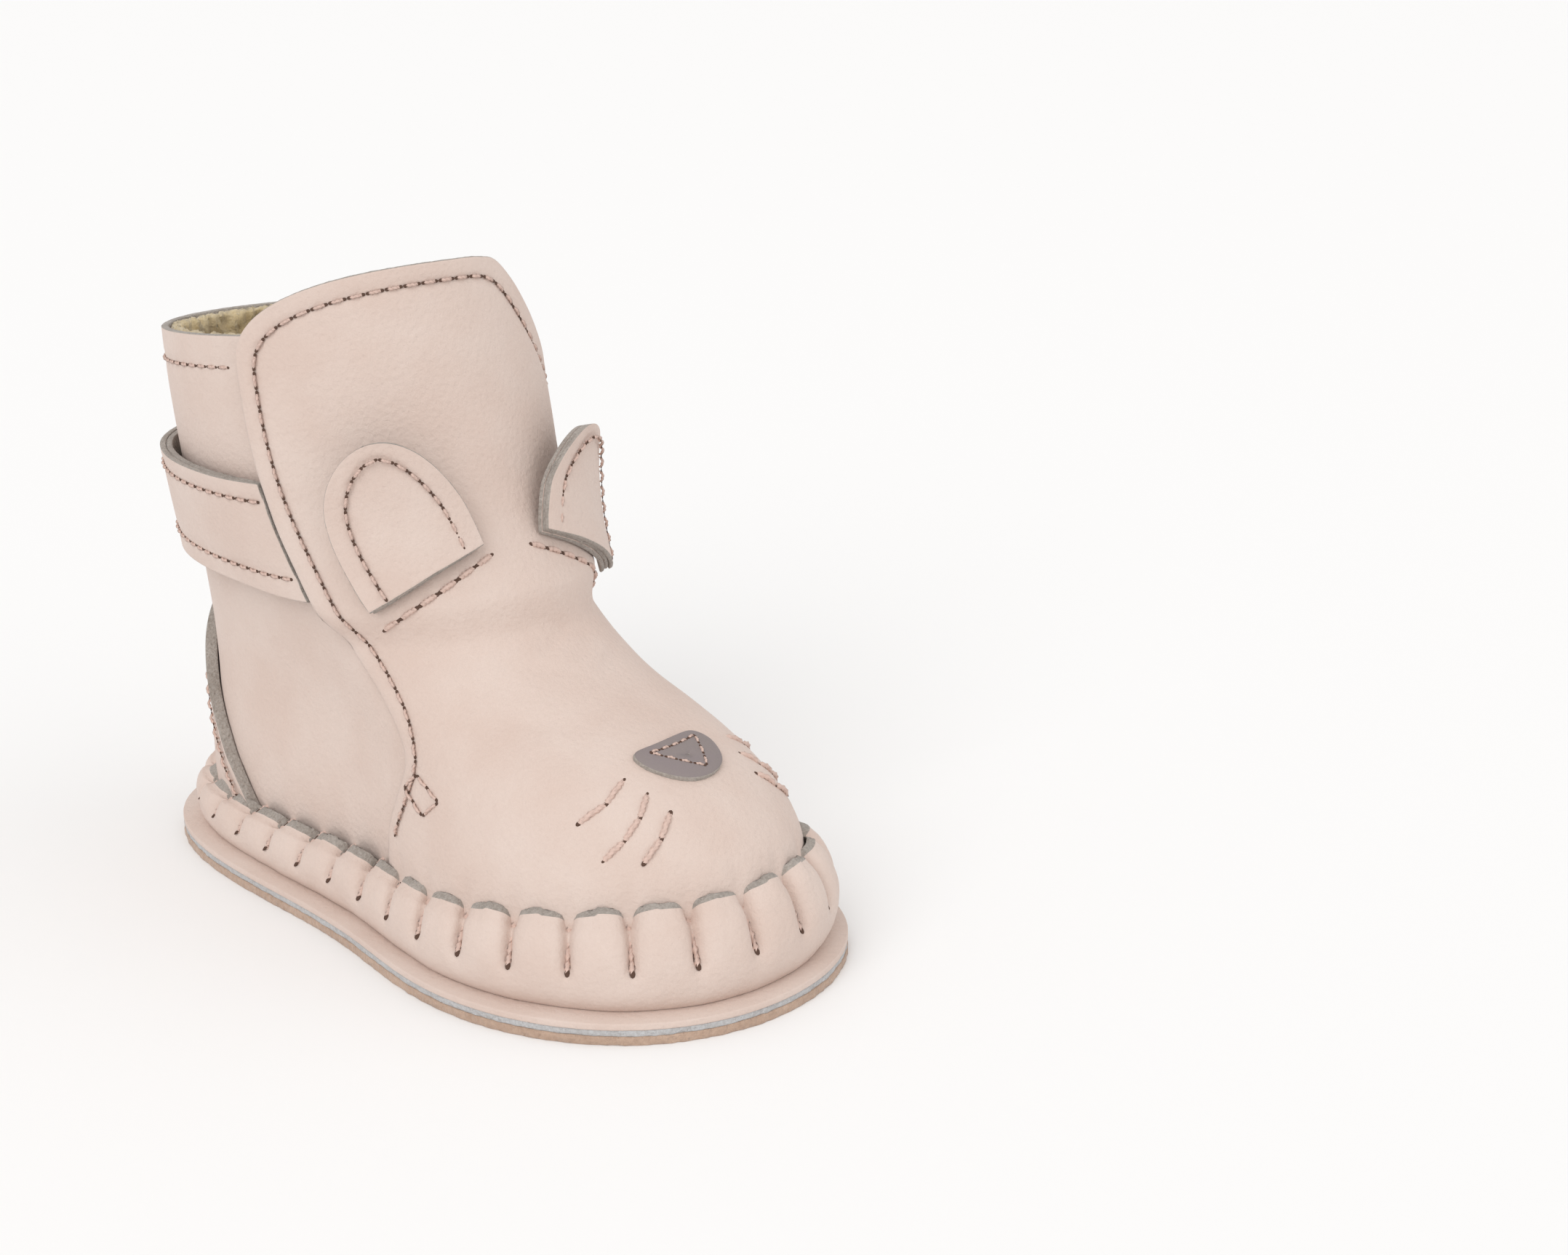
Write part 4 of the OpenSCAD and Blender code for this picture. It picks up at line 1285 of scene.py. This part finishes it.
class BOOTIE_OT_stage(bpy.types.Operator):
    """Sets the camera, the soft lights and the pale floor"""

    bl_idname = "bootie.stage"
    bl_label = "Stage"

    def execute(self, context):
        scene = context.scene
        azimuth, elevation = math.radians(-47.3), math.radians(17.9)
        back = Vector((math.sin(azimuth) * math.cos(elevation),
                       -math.cos(azimuth) * math.cos(elevation), math.sin(elevation)))
        right = Vector((math.cos(azimuth), math.sin(azimuth), 0))
        up = back.cross(right)
        place = back * 0.3812 + right * 0.0510 + up * 0.0434
        lens = bpy.data.cameras.new("camera")
        lens.lens, lens.sensor_width, lens.sensor_fit = 52.0, 36.0, "HORIZONTAL"
        lens.clip_start, lens.clip_end = 0.01, 50
        camera = bpy.data.objects.new("camera", lens)
        scene.collection.objects.link(camera)
        turn = Matrix((right, up, back)).transposed().to_4x4()
        camera.matrix_world = Matrix.Translation(place) @ turn
        scene.camera = camera
        bpy.ops.mesh.primitive_plane_add(size=24)
        floor = context.object
        floor.name = "floor"
        paint = bpy.data.materials.new("matt_white_floor")
        paint.use_nodes = True
        shader = paint.node_tree.nodes["Principled BSDF"]
        shader.inputs["Base Color"].default_value = (0.93, 0.93, 0.93, 1)
        shader.inputs["Roughness"].default_value = 0.95
        shader.inputs["Specular IOR Level"].default_value = 0.1
        floor.data.materials.append(paint)
        world = bpy.data.worlds.new("studio")
        world.use_nodes = True
        sky = world.node_tree.nodes["Background"]
        sky.inputs["Color"].default_value = (1.0, 0.985, 0.97, 1)
        sky.inputs["Strength"].default_value = 0.62
        scene.world = world
        for name, place, spread, power in (
            ("key_light", (-0.9, -0.35, 0.8), 50, 1.25),
            ("fill_light", (0.5, -1.0, 0.7), 70, 0.45),
            ("top_light", (0.1, 0.3, 1.0), 70, 0.35)):
            light = bpy.data.lights.new(name, "SUN")
            light.angle, light.energy = math.radians(spread), power
            lamp = bpy.data.objects.new(name, light)
            scene.collection.objects.link(lamp)
            lamp.rotation_euler = (-Vector(place)).to_track_quat("-Z", "Y").to_euler()
        scene.view_settings.view_transform = "Standard"
        return {"FINISHED"}


class BOOTIE_PT_panel(bpy.types.Panel):
    """Lists the bootie's pieces"""

    bl_idname = "BOOTIE_PT_panel"
    bl_label = "Baby bootie"
    bl_space_type = "VIEW_3D"
    bl_region_type = "UI"
    bl_category = "Bootie"

    def draw(self, context):
        for operator in OPERATORS:
            self.layout.operator(operator.bl_idname)
        for group in (context.scene.bootie_sizes, context.scene.bootie_colours):
            box = self.layout.box()
            for key in type(group).__annotations__:
                box.prop(group, key)


OPERATORS = (BOOTIE_OT_stage, BOOTIE_OT_sole, BOOTIE_OT_footbed, BOOTIE_OT_wall,
             BOOTIE_OT_quarter, BOOTIE_OT_tongue, BOOTIE_OT_lining, BOOTIE_OT_strap,
             BOOTIE_OT_ears, BOOTIE_OT_face, BOOTIE_OT_seams)
CLASSES = (BootieSizes, BootieColours, *OPERATORS, BOOTIE_PT_panel)


def register():
    for item in CLASSES:
        bpy.utils.register_class(item)
    bpy.types.Scene.bootie_sizes = PointerProperty(type=BootieSizes)
    bpy.types.Scene.bootie_colours = PointerProperty(type=BootieColours)


def unregister():
    del bpy.types.Scene.bootie_sizes
    del bpy.types.Scene.bootie_colours
    for item in reversed(CLASSES):
        bpy.utils.unregister_class(item)


def main():
    register()
    for operator in OPERATORS:
        family, name = operator.bl_idname.split(".")
        getattr(getattr(bpy.ops, family), name)()


if __name__ == "__main__":
    main()
